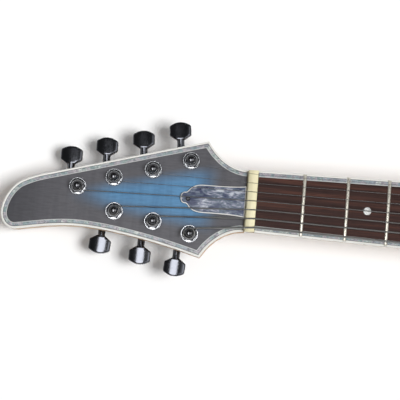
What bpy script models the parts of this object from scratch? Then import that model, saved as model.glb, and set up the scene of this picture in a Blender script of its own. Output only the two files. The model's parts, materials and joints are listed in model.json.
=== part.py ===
"""Seven-string electric guitar, lying on its back.

Metres, +Z up. +X runs from the nut towards the tail, +Y is the treble side and +Z comes out of the top.
The origin is on the flat back of the body, on the centre line, under the line of the saddles.
"""

import math

import bmesh
import bpy
from mathutils import Matrix, Vector

# Gaps between pieces
FIT_GAP = 0.0003
BORE_PLAY = 0.0004
SLOT_PLAY = 0.0009

# How far a cutter runs past the face that it cuts, and clear through a whole piece
PAST = 0.01
FAR = 0.1

# Strings, from the first (thinnest, treble side) to the seventh
STRING_DIAMETERS = (0.00025, 0.00033, 0.00043, 0.00066, 0.00091, 0.00117, 0.0015)
STRING_TURNS = (2.25, 2.25, 1.75, 1.75, 1.75, 1.25, 1.25)
PLAIN_STRINGS = 3
NUT_EDGE = 0.00345
SADDLE_SPREAD = 0.063
SADDLE_CONTACT = 0.0012
NUT_ACTION = 0.0019
SADDLE_ACTION = 0.0040
TURN_POINTS = 24
TURN_GAP = 0.00045

# Scale and fingerboard
SCALE_LENGTH = 0.648
FRET_COUNT = 24
NUT_WIDTH = 0.048
NUT_THICKNESS = 0.0078
NUT_RISE = 0.0024
BOARD_TAPER = 0.040
BOARD_RADIUS = 0.400
BOARD_THICKNESS = 0.0065
BOARD_OVERHANG = 0.009
BOARD_BINDING = 0.0015
FRET_WIDTH = 0.0027
FRET_CROWN = 0.0012
FRET_SEAT = 0.0002
FRET_BEVEL = 0.0008
SURFACE_RISE = 0.0095

# Neck
NECK_DEPTH_FIRST = 0.0205
NECK_DEPTH_TWELFTH = 0.0225
VOLUTE_DROP = 0.0024
HEEL_DEPTH = 0.0325
HEEL_LENGTH = 0.061
ROD_WIDTH = 0.006
ROD_DEPTH = 0.009
ROD_NUT_DIAMETER = 0.0075
ROD_NUT_LENGTH = 0.012
ROD_PROUD = 0.004
ROD_STOP = 0.025
REBATE_OUTSIDE = 0.004

# Headstock, seen along its own plane: u from the nut towards the tip, v towards the treble side
HEAD_TILT = math.radians(7.0)
HEAD_DROP = 0.0045
HEAD_THICKNESS = 0.014
VENEER_THICKNESS = 0.0015
HEAD_BINDING = 0.0015
HEAD_BINDING_DEPTH = 0.005
PURFLING_WIDTH = 0.0025
ROD_ROUT_LENGTH = 0.036
ROD_ROUT_WIDTH = 0.013
ROD_ROUT_DEPTH = 0.009
TRIM_START = 0.0006
COVER_LENGTH = 0.051
COVER_THICKNESS = 0.0016
COVER_CENTRE = -0.001

# Tuners by string number: u and v of the post, side of the headstock and lean of the key to the tip
TUNER_PLACES = (
    (0.0448, 0.0282, 1, 6.0),
    (0.0738, 0.0190, 1, 4.5),
    (0.1038, 0.0108, 1, 1.0),
    (0.1317, 0.0017, 1, 0.0),
    (0.1016, -0.0157, -1, 4.5),
    (0.0709, -0.0213, -1, 1.5),
    (0.0418, -0.0289, -1, 4.0),
)
POST_DIAMETER = 0.006
POST_WAIST = 0.0052
POST_RISE = 0.0108
WASHER_DIAMETER = 0.0138
WASHER_THICKNESS = 0.0011
HEX_ACROSS = 0.0105
HEX_HEIGHT = 0.0024
BARREL_DIAMETER = 0.009
HOUSING_LENGTH = 0.0235
HOUSING_WIDTH = 0.0165
HOUSING_DEPTH = 0.0112
WORM_OFFSET = 0.0088
KEY_SHAFT_DIAMETER = 0.005
KEY_STEM_DIAMETER = 0.0062
KEY_REACH = 0.0267
BUTTON_WIDTH = 0.017
BUTTON_HEIGHT = 0.013
BUTTON_THICKNESS = 0.0064
CASE_FLOOR = 0.0018
CASE_CORNER = 0.0035
KEY_BORE_DEPTH = 0.012
STRING_HOLE = 0.0018
TUNER_SIDES = 12

# Body
BODY_THICKNESS = 0.045
CAP_THICKNESS = 0.014
BACK_EDGE_RADIUS = 0.005
BODY_BINDING = 0.0018
CARVE_STEPS = ((0.0022, 0.0028), (0.0034, 0.0022), (0.0040, 0.0015))

# Pickups
PICKUP_LENGTH = 0.084
PICKUP_WIDTH = 0.0375
PICKUP_DROP = 0.0013
PICKUP_ROUT = 0.018
NECK_PICKUP_GAP = 0.00525
BRIDGE_PICKUP_X = -0.041
PICKUP_PLAY = 0.001
PICKUP_CORNER = 0.003
BOBBIN_WIDTH = 0.0165
BOBBIN_HEIGHT = 0.004
BOBBIN_GAP = 0.0016

# Bridge
BRIDGE_LENGTH = 0.046
BRIDGE_MARGIN = 0.0125
BRIDGE_THICKNESS = 0.003
BRIDGE_CORNER = 0.004
BRIDGE_FRONT_X = -0.016
BRIDGE_WALL = 0.003
BRIDGE_WALL_RISE = 0.0085
SADDLE_GAP = 0.0012
SADDLE_LENGTH = 0.019
SADDLE_FRONT = 0.0045
BALL_BORE = 0.003
BALL_RISE = 0.0045

# Controls
CEILING_THICKNESS = 0.006
CAVITY_ROOM = 0.005
CAVITY_CORNER = 0.012
COVER_LEDGE = 0.005
COVER_PLATE = 0.0025
VOLUME_PLACE = (0.010, 0.078)
TONE_PLACE = (0.051, 0.084)
SELECTOR_PLACE = (-0.026, 0.098)
POT_DIAMETER = 0.024
POT_HEIGHT = 0.011
BUSH_DIAMETER = 0.0095
POT_SHAFT_DIAMETER = 0.006
POT_NUT_ACROSS = 0.0125
POT_NUT_HEIGHT = 0.0022
BUSH_PROUD = 0.0012
SHAFT_SINK = 0.004
KNOB_DIAMETER = 0.019
KNOB_HEIGHT = 0.0165
KNOB_LIFT = 0.0007
SWITCH_LENGTH = 0.042
SWITCH_WIDTH = 0.0125
SWITCH_HEIGHT = 0.017
LEVER_THICKNESS = 0.0016
LEVER_WIDTH = 0.005
LEVER_PIN = 0.0024
LEVER_PIVOT_DEPTH = 0.015
LEVER_SWING = math.radians(16.0)
LEVER_TIP_DIAMETER = 0.0085
LEVER_TIP_RISE = 0.0085
LEVER_TIP_LENGTH = 0.0115

# Jack and strap buttons
JACK_X = 0.016
JACK_SEAT_DEPTH = 0.0022
JACK_FLANGE_DIAMETER = 0.021
JACK_FLANGE_THICKNESS = 0.0022
JACK_FLANGE_PLAY = 0.0005
JACK_BARREL_DIAMETER = 0.012
JACK_BARREL_LENGTH = 0.032
JACK_BORE = 0.0066
JACK_BORE_DEPTH = 0.026
STRAP_BUTTON_DIAMETER = 0.0145
STRAP_BUTTON_FOOT = 0.011
STRAP_BUTTON_WAIST = 0.0076
STRAP_BUTTON_LENGTH = 0.0135

# Places that follow from the sizes above
SURFACE_HEIGHT = BODY_THICKNESS + SURFACE_RISE
NUT_FRONT_X = -SCALE_LENGTH
NUT_BACK_X = NUT_FRONT_X - NUT_THICKNESS
NECK_TOP = SURFACE_HEIGHT - BOARD_THICKNESS - FIT_GAP
HEAD_FACE_HEIGHT = SURFACE_HEIGHT - HEAD_DROP
HEEL_BOTTOM = SURFACE_HEIGHT - HEEL_DEPTH
STRING_COUNT = len(STRING_DIAMETERS)
NUT_SPREAD = NUT_WIDTH - 2 * NUT_EDGE
SADDLE_WIDTH = SADDLE_SPREAD / (STRING_COUNT - 1) - SADDLE_GAP
BRIDGE_WIDTH = SADDLE_SPREAD + 2 * BRIDGE_MARGIN
BRIDGE_REAR_X = BRIDGE_FRONT_X + BRIDGE_LENGTH
POST_CLEARANCE = POST_DIAMETER / 2 + BORE_PLAY
BUSHING_TOP = WASHER_THICKNESS + HEX_HEIGHT + FIT_GAP
CORE_THICKNESS = BODY_THICKNESS - CAP_THICKNESS
BODY_SIDE_HEIGHT = BODY_THICKNESS - sum(rise for _, rise in CARVE_STEPS)
SIDE_MIDDLE = (CORE_THICKNESS + BACK_EDGE_RADIUS) / 2
PICKUP_TOP = SURFACE_HEIGHT - PICKUP_DROP
PICKUP_FLOOR = BODY_THICKNESS - PICKUP_ROUT
CAVITY_CEILING = BODY_THICKNESS - CEILING_THICKNESS
POT_TOP = CAVITY_CEILING - FIT_GAP
LEVER_PIVOT_HEIGHT = BODY_THICKNESS - LEVER_PIVOT_DEPTH
LEVER_TIP_BOTTOM = BODY_THICKNESS + LEVER_TIP_RISE
LEVER_TIP_TOP = LEVER_TIP_BOTTOM + LEVER_TIP_LENGTH

COLOURS = {
    "blue_lacquer": ((0.10, 0.20, 0.34), 0.0, 0.35),
    "mahogany": ((0.24, 0.10, 0.05), 0.0, 0.45),
    "rosewood": ((0.06, 0.035, 0.03), 0.0, 0.6),
    "white_plastic": ((0.85, 0.84, 0.80), 0.0, 0.35),
    "abalone": ((0.45, 0.52, 0.55), 0.0, 0.25),
    "bone": ((0.75, 0.68, 0.50), 0.0, 0.4),
    "black_nickel": ((0.05, 0.05, 0.055), 1.0, 0.25),
    "black_plastic": ((0.02, 0.02, 0.02), 0.0, 0.4),
    "steel": ((0.65, 0.65, 0.66), 1.0, 0.3),
    "wound_string": ((0.5, 0.48, 0.45), 1.0, 0.4),
}


def remove_old_objects():
    for old in list(bpy.data.objects):
        bpy.data.objects.remove(old, do_unlink=True)


def material(name):
    """The named finish, made once."""
    if name in bpy.data.materials:
        return bpy.data.materials[name]
    colour, metallic, roughness = COLOURS[name]
    made = bpy.data.materials.new(name)
    made.use_nodes = True
    shader = made.node_tree.nodes["Principled BSDF"]
    shader.inputs["Base Color"].default_value = (*colour, 1.0)
    shader.inputs["Metallic"].default_value = metallic
    shader.inputs["Roughness"].default_value = roughness
    return made


def place_object(name, data, finish, parent=None, location=(0.0, 0.0, 0.0), turn=(0.0, 0.0, 0.0)):
    """A named object in the scene, placed under its parent."""
    made = bpy.data.objects.new(name, data)
    bpy.context.collection.objects.link(made)
    made.location = location
    made.rotation_euler = turn
    made.parent = parent
    if finish:
        data.materials.clear()
        data.materials.append(material(finish))
    return made


def mesh_from(bm, name):
    """A mesh with its faces turned outwards and its round stretches shaded smooth."""
    bmesh.ops.recalc_face_normals(bm, faces=bm.faces)
    data = bpy.data.meshes.new(name)
    bm.to_mesh(data)
    bm.free()
    data.shade_smooth()
    data.set_sharp_from_angle(angle=math.radians(35))
    return data


def combine(target, others, operation):
    """Booleans on the target with each of the other objects, which stay as wire guides."""
    for other in others:
        other.hide_render = True
        other.display_type = "WIRE"
        step = target.modifiers.new(other.name, "BOOLEAN")
        step.operation = operation
        step.solver = "EXACT"
        step.object = other


def finished_mesh(target):
    """The target's mesh after its modifiers, for sharing between copies."""
    bpy.context.view_layer.update()
    seen = target.evaluated_get(bpy.context.evaluated_depsgraph_get())
    return bpy.data.meshes.new_from_object(seen)


def bezier(start, start_handle, end_handle, end, steps):
    """Points of one curve run, without its end point."""
    corners = [Vector(corner) for corner in (start, start_handle, end_handle, end)]
    points = []
    for step in range(steps):
        t = step / steps
        s = 1 - t
        weights = (s ** 3, 3 * s * s * t, 3 * s * t * t, t ** 3)
        mixed = sum((corner * weight for corner, weight in zip(corners, weights)), Vector((0.0, 0.0)))
        points.append(tuple(mixed))
    return points


def curve_path(start, runs):
    """Points along runs of (handle, handle, end, steps); a run of (end,) is straight."""
    points = []
    here = start
    for run in runs:
        if len(run) == 1:
            points.append(here)
            here = run[0]
            continue
        points += bezier(here, run[0], run[1], run[2], run[3])
        here = run[2]
    points.append(here)
    return points


def offset_path(points, distance, closed):
    """The path moved to its left by the distance, with mitred corners."""
    moved = []
    count = len(points)
    for index in range(count):
        here = Vector(points[index])
        before = Vector(points[index - 1]) if closed or index > 0 else None
        after = Vector(points[(index + 1) % count]) if closed or index < count - 1 else None
        sides = []
        if before is not None:
            sides.append((here - before).normalized())
        if after is not None:
            sides.append((after - here).normalized())
        normals = [Vector((-side.y, side.x)) for side in sides]
        mean = sum(normals, Vector((0.0, 0.0))).normalized()
        moved.append(tuple(here + mean * distance / mean.dot(normals[0])))
    return moved


def prism(points, bottom, top, bm=None):
    """An outline pulled up from one height to the other."""
    bm = bm or bmesh.new()
    floor = [bm.verts.new((x, y, bottom)) for x, y in points]
    face = bm.faces.new(floor)
    pulled = bmesh.ops.extrude_face_region(bm, geom=[face])
    risen = [item for item in pulled["geom"] if isinstance(item, bmesh.types.BMVert)]
    bmesh.ops.translate(bm, verts=risen, vec=(0, 0, top - bottom))
    return bm


def box(low, high, bm=None):
    corners = ((low[0], low[1]), (high[0], low[1]), (high[0], high[1]), (low[0], high[1]))
    return prism(corners, low[2], high[2], bm)


def ring_points(diameter, sides, centre=(0.0, 0.0), turn=0.0):
    angles = [turn + 2 * math.pi * side / sides for side in range(sides)]
    return [(centre[0] + diameter / 2 * math.cos(a), centre[1] + diameter / 2 * math.sin(a)) for a in angles]


def half_circle(radius, steps=8):
    """Points from straight above the centre round its -X side to straight below."""
    angles = [math.pi / 2 + math.pi * step / steps for step in range(steps + 1)]
    return [(radius * math.cos(a), radius * math.sin(a)) for a in angles]


def across_flats(width):
    """The corner-to-corner size of a hexagon."""
    return width / math.cos(math.radians(30))


def rounded_rectangle(centre, size, radius, steps=4):
    """Outline of a rectangle with round corners."""
    points = []
    for corner in range(4):
        sign_x = (1, -1, -1, 1)[corner]
        sign_y = (1, 1, -1, -1)[corner]
        middle = (centre[0] + sign_x * (size[0] / 2 - radius), centre[1] + sign_y * (size[1] / 2 - radius))
        for step in range(steps + 1):
            angle = math.pi / 2 * (corner + step / steps)
            points.append((middle[0] + radius * math.cos(angle), middle[1] + radius * math.sin(angle)))
    return points


def lathe(profile, sides):
    """A turned body from (radius, height) points; it closes on the axis or on itself."""
    bm = bmesh.new()
    verts = [bm.verts.new((radius, 0.0, height)) for radius, height in profile]
    edges = [bm.edges.new(pair) for pair in zip(verts, verts[1:])]
    if profile[0][0] > 0.0:
        edges.append(bm.edges.new((verts[-1], verts[0])))
    bmesh.ops.spin(
        bm, geom=verts + edges, cent=(0, 0, 0), axis=(0, 0, 1), angle=2 * math.pi, steps=sides, use_merge=True
    )
    bmesh.ops.remove_doubles(bm, verts=bm.verts, dist=1e-6)
    return bm


def guide(name, bm, parent=None, location=(0.0, 0.0, 0.0), turn=(0.0, 0.0, 0.0)):
    """A shape that only cuts or joins another."""
    made = place_object(name, mesh_from(bm, name), None, parent, location, turn)
    made.hide_render = True
    made.display_type = "WIRE"
    return made


def piece(name, bm, finish, parent=None, location=(0.0, 0.0, 0.0), turn=(0.0, 0.0, 0.0)):
    return place_object(name, mesh_from(bm, name), finish, parent, location, turn)


# Scale, strings and board


def fret_x(number):
    """Distance rule of equal temperament, measured from the saddle line."""
    return -SCALE_LENGTH * 2 ** (-number / 12)


BOARD_END_X = fret_x(FRET_COUNT) + BOARD_OVERHANG
NECK_PICKUP_X = BOARD_END_X + NECK_PICKUP_GAP + PICKUP_WIDTH / 2


def board_half_width(x):
    return (NUT_WIDTH + BOARD_TAPER * (x - NUT_FRONT_X)) / 2


def crown_drop(y):
    """How far the round surface of the board falls away from the centre line."""
    return BOARD_RADIUS - math.sqrt(BOARD_RADIUS ** 2 - y * y)


def string_side(number, spread):
    """Side position of a string, counted from the treble side."""
    return spread * (0.5 - number / (STRING_COUNT - 1))


def string_height(x, y):
    """Underside of the strings above the back of the body."""
    share = (x - NUT_FRONT_X) / SCALE_LENGTH
    return SURFACE_HEIGHT - crown_drop(y) + NUT_ACTION + (SADDLE_ACTION - NUT_ACTION) * share


# Headstock plane


def head_matrix():
    """Plane of the headstock face: -X towards the tip, +Z out of the face."""
    return Matrix.Translation((NUT_BACK_X, 0.0, HEAD_FACE_HEIGHT)) @ Matrix.Rotation(-HEAD_TILT, 4, "Y")


def make_head_plane():
    plane = bpy.data.objects.new("headstock_plane", None)
    bpy.context.collection.objects.link(plane)
    plane.location = (NUT_BACK_X, 0.0, HEAD_FACE_HEIGHT)
    plane.rotation_euler = (0.0, -HEAD_TILT, 0.0)
    return plane


def head_outline():
    """Edge of the headstock from the bass corner of the nut round the tip to the treble corner."""
    half = board_half_width(NUT_BACK_X)
    runs = (
        ((0.0120, -half), (0.0250, -0.0320), (0.0331, -0.0465), 5),
        ((0.0600, -0.0386), (0.0970, -0.0305), (0.1272, -0.0291), 5),
        ((0.1470, -0.0286), (0.1630, -0.0326), (0.1765, -0.0347), 4),
        ((0.1835, -0.0364), (0.1898, -0.0310), (0.1898, -0.0225), 5),
        ((0.1898, -0.0120), (0.1820, 0.0006), (0.1733, 0.0039), 5),
        ((0.1660, 0.0078), (0.1580, 0.0097), (0.1500, 0.0119), 3),
        ((0.0322, 0.0444),),
        ((0.0235, 0.0310), (0.0120, half), (0.0, half), 5),
    )
    return [(-u, v) for u, v in curve_path((0.0, -half), runs)]


def head_inset(distance, start=TRIM_START):
    """Headstock edge moved inwards, with both ends cut square at the start distance from the nut."""
    path = offset_path(head_outline(), -distance, closed=False)
    return [(-start, path[0][1])] + path[1:-1] + [(-start, path[-1][1])]


def tuner_holes(parent, bottom, label):
    """Cutters for the bushing barrels, from the given depth to above the face."""
    holes = []
    for number, place in enumerate(TUNER_PLACES, 1):
        bm = prism(ring_points(BARREL_DIAMETER + 2 * BORE_PLAY, TUNER_SIDES), bottom, PAST)
        holes.append(guide(f"{label}_{number}", bm, parent, (-place[0], place[1], 0.0)))
    return holes


def rod_rout(parent, bottom, label):
    """Opening over the truss-rod nut, with a round end."""
    half = ROD_ROUT_WIDTH / 2
    points = [(ROD_WIDTH, -half), (ROD_WIDTH, half)]
    for x, y in half_circle(half):
        points.append((x - ROD_ROUT_LENGTH + half, y))
    return guide(label, prism(points, bottom, PAST), parent, (0.0, COVER_CENTRE, 0.0))


def make_headstock_trim(plane):
    """Face veneer, shell line and binding strip."""
    purfling_edge = HEAD_BINDING + FIT_GAP
    veneer_edge = purfling_edge + PURFLING_WIDTH + FIT_GAP
    leaf = prism(head_inset(veneer_edge), -VENEER_THICKNESS, 0.0)
    veneer = piece("headstock_veneer", leaf, "blue_lacquer", plane)
    cuts = tuner_holes(plane, -PAST, "veneer_hole") + [rod_rout(plane, -PAST, "veneer_rout")]
    combine(veneer, cuts, "DIFFERENCE")

    shell = head_inset(purfling_edge) + head_inset(purfling_edge + PURFLING_WIDTH)[::-1]
    piece("headstock_purfling", prism(shell, -VENEER_THICKNESS, 0.0), "abalone", plane)
    strip = head_inset(0.0) + head_inset(HEAD_BINDING)[::-1]
    piece("headstock_binding", prism(strip, -HEAD_BINDING_DEPTH, 0.0), "white_plastic", plane)


def cover_outline():
    """Bell-shaped plate with a lobe at its tip, drawn on one side and repeated on the other."""
    tip = COVER_LENGTH
    runs = (
        ((0.0080, 0.0110), (0.0200, 0.0108), (tip - 0.0190, 0.0110), 4),
        ((tip - 0.0130, 0.0112), (tip - 0.0095, 0.0098), (tip - 0.0070, 0.0072), 4),
        ((tip - 0.0058, 0.0056), (tip - 0.0050, 0.0046), (tip - 0.0040, 0.0045), 2),
        ((tip - 0.0015, 0.0047), (tip, 0.0028), (tip, 0.0), 4),
    )
    half = curve_path((FIT_GAP, 0.0122), runs)
    upper = [(-u, v) for u, v in half]
    lower = [(-u, -v) for u, v in half[-2::-1]]
    return upper + lower


def make_rod_cover(plane):
    location = (0.0, COVER_CENTRE, 0.0)
    bm = prism(cover_outline(), FIT_GAP, FIT_GAP + COVER_THICKNESS)
    piece("truss_rod_cover", bm, "abalone", plane, location)


# Neck


def neck_section(x, half_width, bottom, squareness, steps=10):
    """Flat top and a back that runs from a round D to a square heel."""
    depth = NECK_TOP - bottom
    ring = []
    for step in range(steps + 1):
        angle = math.pi * step / steps
        side = math.copysign(abs(math.cos(angle)) ** (2 / squareness), math.cos(angle))
        fall = math.sin(angle) ** (2 / squareness) if 0 < step < steps else 0.0
        ring.append(Vector((x, half_width * side, NECK_TOP - 0.0015 - (depth - 0.0015) * fall)))
    ring.insert(0, Vector((x, half_width, NECK_TOP)))
    ring.append(Vector((x, -half_width, NECK_TOP)))
    return ring


def loft(rings):
    """A closed skin through rings of equal point counts."""
    bm = bmesh.new()
    loops = []
    for ring in rings:
        verts = [bm.verts.new(point) for point in ring]
        loops.append([bm.edges.new((verts[i - 1], verts[i])) for i in range(len(verts))])
    for before, after in zip(loops, loops[1:]):
        bmesh.ops.bridge_loops(bm, edges=before + after)
    bmesh.ops.contextual_create(bm, geom=loops[0])
    bmesh.ops.contextual_create(bm, geom=loops[-1])
    return bm


def neck_rings():
    first = SURFACE_HEIGHT - NECK_DEPTH_FIRST
    twelfth = SURFACE_HEIGHT - NECK_DEPTH_TWELFTH
    heel_start = BOARD_END_X - HEEL_LENGTH
    stations = [
        (NUT_BACK_X - 0.040, 0.86, first - VOLUTE_DROP + 0.0012, 2.4),
        (NUT_BACK_X - 0.026, 0.92, first - VOLUTE_DROP - 0.0002, 2.3),
        (NUT_BACK_X - 0.012, 0.98, first - VOLUTE_DROP - 0.0004, 2.2),
        (NUT_BACK_X, 1.0, first - VOLUTE_DROP / 2, 2.2),
        (NUT_FRONT_X + 0.012, 1.0, first, 2.2),
        (fret_x(1), 1.0, first, 2.2),
        (fret_x(5), 1.0, first + (twelfth - first) * 0.45, 2.2),
        (fret_x(12), 1.0, twelfth, 2.3),
        (heel_start - 0.045, 1.0, twelfth, 2.4),
        (heel_start - 0.026, 1.0, twelfth - 0.0015, 2.8),
        (heel_start - 0.012, 1.0, (twelfth + HEEL_BOTTOM) / 2, 4.0),
        (heel_start - 0.004, 1.0, HEEL_BOTTOM + 0.0012, 8.0),
        (heel_start + 0.002, 1.0, HEEL_BOTTOM, 14.0),
        (BOARD_END_X, 1.0, HEEL_BOTTOM, 14.0),
    ]
    rings = []
    for x, share, bottom, squareness in stations:
        rings.append(neck_section(x, share * board_half_width(x), bottom, squareness))
    return rings


def make_neck(plane):
    """Shaft, heel and headstock core in one piece of wood."""
    neck = piece("neck", loft(neck_rings()), "mahogany")
    rebate = HEAD_BINDING_DEPTH + FIT_GAP
    full = guide("head_core", prism(head_outline(), -HEAD_THICKNESS, -rebate), plane)
    raised = head_inset(HEAD_BINDING + FIT_GAP)
    face = guide("head_face", prism(raised, -HEAD_THICKNESS / 2, -VENEER_THICKNESS - FIT_GAP), plane)
    combine(neck, [full, face], "UNION")
    strip = head_inset(-REBATE_OUTSIDE, -FIT_GAP) + head_inset(HEAD_BINDING + FIT_GAP, -FIT_GAP)[::-1]
    above_board = box((NUT_BACK_X - FIT_GAP, -FAR, NECK_TOP), (BOARD_END_X + PAST, FAR, NECK_TOP + 2 * PAST))
    above_head = [(REBATE_OUTSIDE / 2, -FAR), (REBATE_OUTSIDE / 2, FAR), (-FAR / 2, FAR), (-FAR / 2, -FAR)]
    channel_play = ROD_WIDTH / 2 + FIT_GAP
    channel_floor = NECK_TOP - ROD_DEPTH - 2 * FIT_GAP
    channel = box(
        (NUT_BACK_X - ROD_NUT_LENGTH, COVER_CENTRE - channel_play, channel_floor),
        (BOARD_END_X - ROD_STOP, COVER_CENTRE + channel_play, NECK_TOP + PAST),
    )
    cuts = [
        guide("above_board", above_board),
        guide("above_head", prism(above_head, -VENEER_THICKNESS - FIT_GAP, 2 * PAST), plane),
        guide("binding_rebate", prism(strip, -rebate, 2 * PAST), plane),
        guide("rod_channel", channel),
        rod_rout(plane, -ROD_ROUT_DEPTH, "neck_rout"),
    ]
    cuts += tuner_holes(plane, -HEAD_THICKNESS - PAST, "neck_hole")
    combine(neck, cuts, "DIFFERENCE")


def make_truss_rod():
    """Two-way rod in its channel, with the adjusting nut in the headstock rout."""
    top = NECK_TOP - FIT_GAP
    bottom = top - ROD_DEPTH
    low = (NUT_BACK_X - ROD_PROUD, COVER_CENTRE - ROD_WIDTH / 2, bottom)
    high = (BOARD_END_X - ROD_STOP - 2 * FIT_GAP, COVER_CENTRE + ROD_WIDTH / 2, top)
    rod = piece("truss_rod", box(low, high), "steel")
    hexagon = prism(ring_points(ROD_NUT_DIAMETER, 6), 0.0, ROD_NUT_LENGTH)
    centre = (low[0] + FIT_GAP, COVER_CENTRE, top - ROD_NUT_DIAMETER / 2 - FIT_GAP)
    combine(rod, [guide("rod_nut", hexagon, None, centre, (0.0, -math.pi / 2, 0.0))], "UNION")


def board_section(x, inset, lift, steps=4):
    """Board outline across the neck: flat below, round above."""
    half = board_half_width(x) - inset
    bottom = SURFACE_HEIGHT - BOARD_THICKNESS
    ring = [Vector((x, half, bottom)), Vector((x, -half, bottom))]
    for step in range(steps + 1):
        y = -half + 2 * half * step / steps
        ring.append(Vector((x, y, SURFACE_HEIGHT + lift - crown_drop(y))))
    return ring


def fret_bar(bm, x):
    """One fret: a low crown that follows the board and is bevelled at both ends."""
    half = board_half_width(x) - FIT_GAP
    stations = 5
    rows = []
    for station in range(stations):
        y = -half + 2 * half * station / (stations - 1)
        is_end = station in (0, stations - 1)
        top_y = math.copysign(abs(y) - FRET_BEVEL, y) if is_end else y
        level = SURFACE_HEIGHT - crown_drop(y)
        rows.append([
            bm.verts.new((x - FRET_WIDTH / 2, y, level - FRET_SEAT)),
            bm.verts.new((x - FRET_WIDTH / 4, top_y, level + FRET_CROWN)),
            bm.verts.new((x + FRET_WIDTH / 4, top_y, level + FRET_CROWN)),
            bm.verts.new((x + FRET_WIDTH / 2, y, level - FRET_SEAT)),
        ])
    for before, after in zip(rows, rows[1:]):
        for i in range(4):
            bm.faces.new((before[i - 1], before[i], after[i], after[i - 1]))
    bm.faces.new(rows[0])
    bm.faces.new(rows[-1][::-1])


def make_fingerboard():
    edge = BOARD_BINDING + FIT_GAP
    start = NUT_FRONT_X + FIT_GAP
    end = BOARD_END_X - BOARD_BINDING - FIT_GAP
    plank = loft([board_section(start, edge, 0.0), board_section(end, edge, 0.0)])
    board = piece("fingerboard", plank, "rosewood")
    bm = bmesh.new()
    for number in range(1, FRET_COUNT + 1):
        fret_bar(bm, fret_x(number))
    combine(board, [guide("frets", bm)], "UNION")

    lowered = -FRET_SEAT - FIT_GAP
    whole = loft([board_section(start, 0.0, lowered, 2), board_section(BOARD_END_X, 0.0, lowered, 2)])
    binding = piece("fingerboard_binding", whole, "white_plastic")
    core = []
    for x, sign in ((start - PAST, 1), (start - PAST, -1), (end + FIT_GAP, -1), (end + FIT_GAP, 1)):
        core.append((x, sign * (board_half_width(x) - BOARD_BINDING)))
    combine(binding, [guide("board_space", prism(core, 0.0, FAR))], "DIFFERENCE")


def make_nut():
    """Bone nut with a slot under each string."""
    low = SURFACE_HEIGHT - BOARD_THICKNESS
    half = board_half_width(NUT_BACK_X)
    steps = 6
    rings = []
    for x in (NUT_BACK_X, NUT_FRONT_X - FIT_GAP):
        ring = [Vector((x, half, low)), Vector((x, -half, low))]
        for step in range(steps + 1):
            y = -half + 2 * half * step / steps
            ring.append(Vector((x, y, SURFACE_HEIGHT + NUT_RISE - crown_drop(y))))
        rings.append(ring)
    nut = piece("nut", loft(rings), "bone")
    cuts = []
    for number, diameter in enumerate(STRING_DIAMETERS):
        y = string_side(number, NUT_SPREAD)
        half_slot = diameter / 2 + FIT_GAP
        bottom = string_height(NUT_FRONT_X, y) - FIT_GAP
        slot = box((-PAST, -half_slot, 0.0), (PAST, half_slot, PAST))
        centre = ((NUT_FRONT_X + NUT_BACK_X) / 2, y, bottom)
        cuts.append(guide(f"nut_slot_{number + 1}", slot, None, centre))
    combine(nut, cuts, "DIFFERENCE")


# Tuners


def housing_mesh(hand):
    """Closed gear case under the headstock with a bore for the post and one for the key's shaft."""
    top = -HEAD_THICKNESS - FIT_GAP
    centre = (-hand * WORM_OFFSET / 2, 0.0)
    outline = rounded_rectangle(centre, (HOUSING_LENGTH, HOUSING_WIDTH), CASE_CORNER, 2)
    bm = prism(outline, top - HOUSING_DEPTH, top)
    lower = [e for e in bm.edges if all(v.co.z < top - HOUSING_DEPTH / 2 for v in e.verts)]
    bmesh.ops.bevel(bm, geom=lower, offset=CASE_FLOOR, segments=1, profile=0.5, affect="EDGES", material=-1)
    case = place_object("housing_blank", mesh_from(bm, "housing"), "black_nickel")
    post_depth = top - HOUSING_DEPTH + CASE_FLOOR
    post_room = ring_points(2 * POST_CLEARANCE, TUNER_SIDES)
    post_bore = guide("post_bore", prism(post_room, post_depth, top + PAST))
    shaft_room = ring_points(KEY_SHAFT_DIAMETER + 2 * BORE_PLAY, TUNER_SIDES)
    shaft_bore = prism(shaft_room, 0.0, KEY_BORE_DEPTH + PAST)
    start = (-hand * WORM_OFFSET, HOUSING_WIDTH / 2 - KEY_BORE_DEPTH, key_axis_height())
    key_bore = guide("key_bore", shaft_bore, None, start, (-math.pi / 2, 0.0, 0.0))
    combine(case, [post_bore, key_bore], "DIFFERENCE")
    mesh = finished_mesh(case)
    for used in (case, post_bore, key_bore):
        bpy.data.objects.remove(used, do_unlink=True)
    return mesh


def key_axis_height():
    """The key's shaft runs through the middle of the gear case."""
    return -HEAD_THICKNESS - FIT_GAP - HOUSING_DEPTH / 2


def post_mesh():
    """Turned post with a waist for the string and a hole through it."""
    bottom = -HEAD_THICKNESS - HOUSING_DEPTH + CASE_FLOOR
    radius = POST_DIAMETER / 2
    waist = POST_WAIST / 2
    slope = 0.0005
    crown = 0.0009
    low_shoulder = BUSHING_TOP + slope
    high_shoulder = POST_RISE - 0.0024
    profile = (
        (0.0, bottom), (radius, bottom), (radius, low_shoulder), (waist, low_shoulder + slope),
        (waist, high_shoulder - slope), (radius, high_shoulder), (radius, POST_RISE - crown),
        (radius - crown, POST_RISE), (0.0, POST_RISE),
    )
    post = place_object("post_blank", mesh_from(lathe(profile, TUNER_SIDES), "post"), "black_nickel")
    bore = prism(ring_points(STRING_HOLE, 6), -PAST, PAST)
    hole = guide("string_hole", bore, None, (0.0, 0.0, high_shoulder - STRING_HOLE), (0.0, math.pi / 2, 0.0))
    combine(post, [hole], "DIFFERENCE")
    mesh = finished_mesh(post)
    for used in (post, hole):
        bpy.data.objects.remove(used, do_unlink=True)
    return mesh


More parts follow.
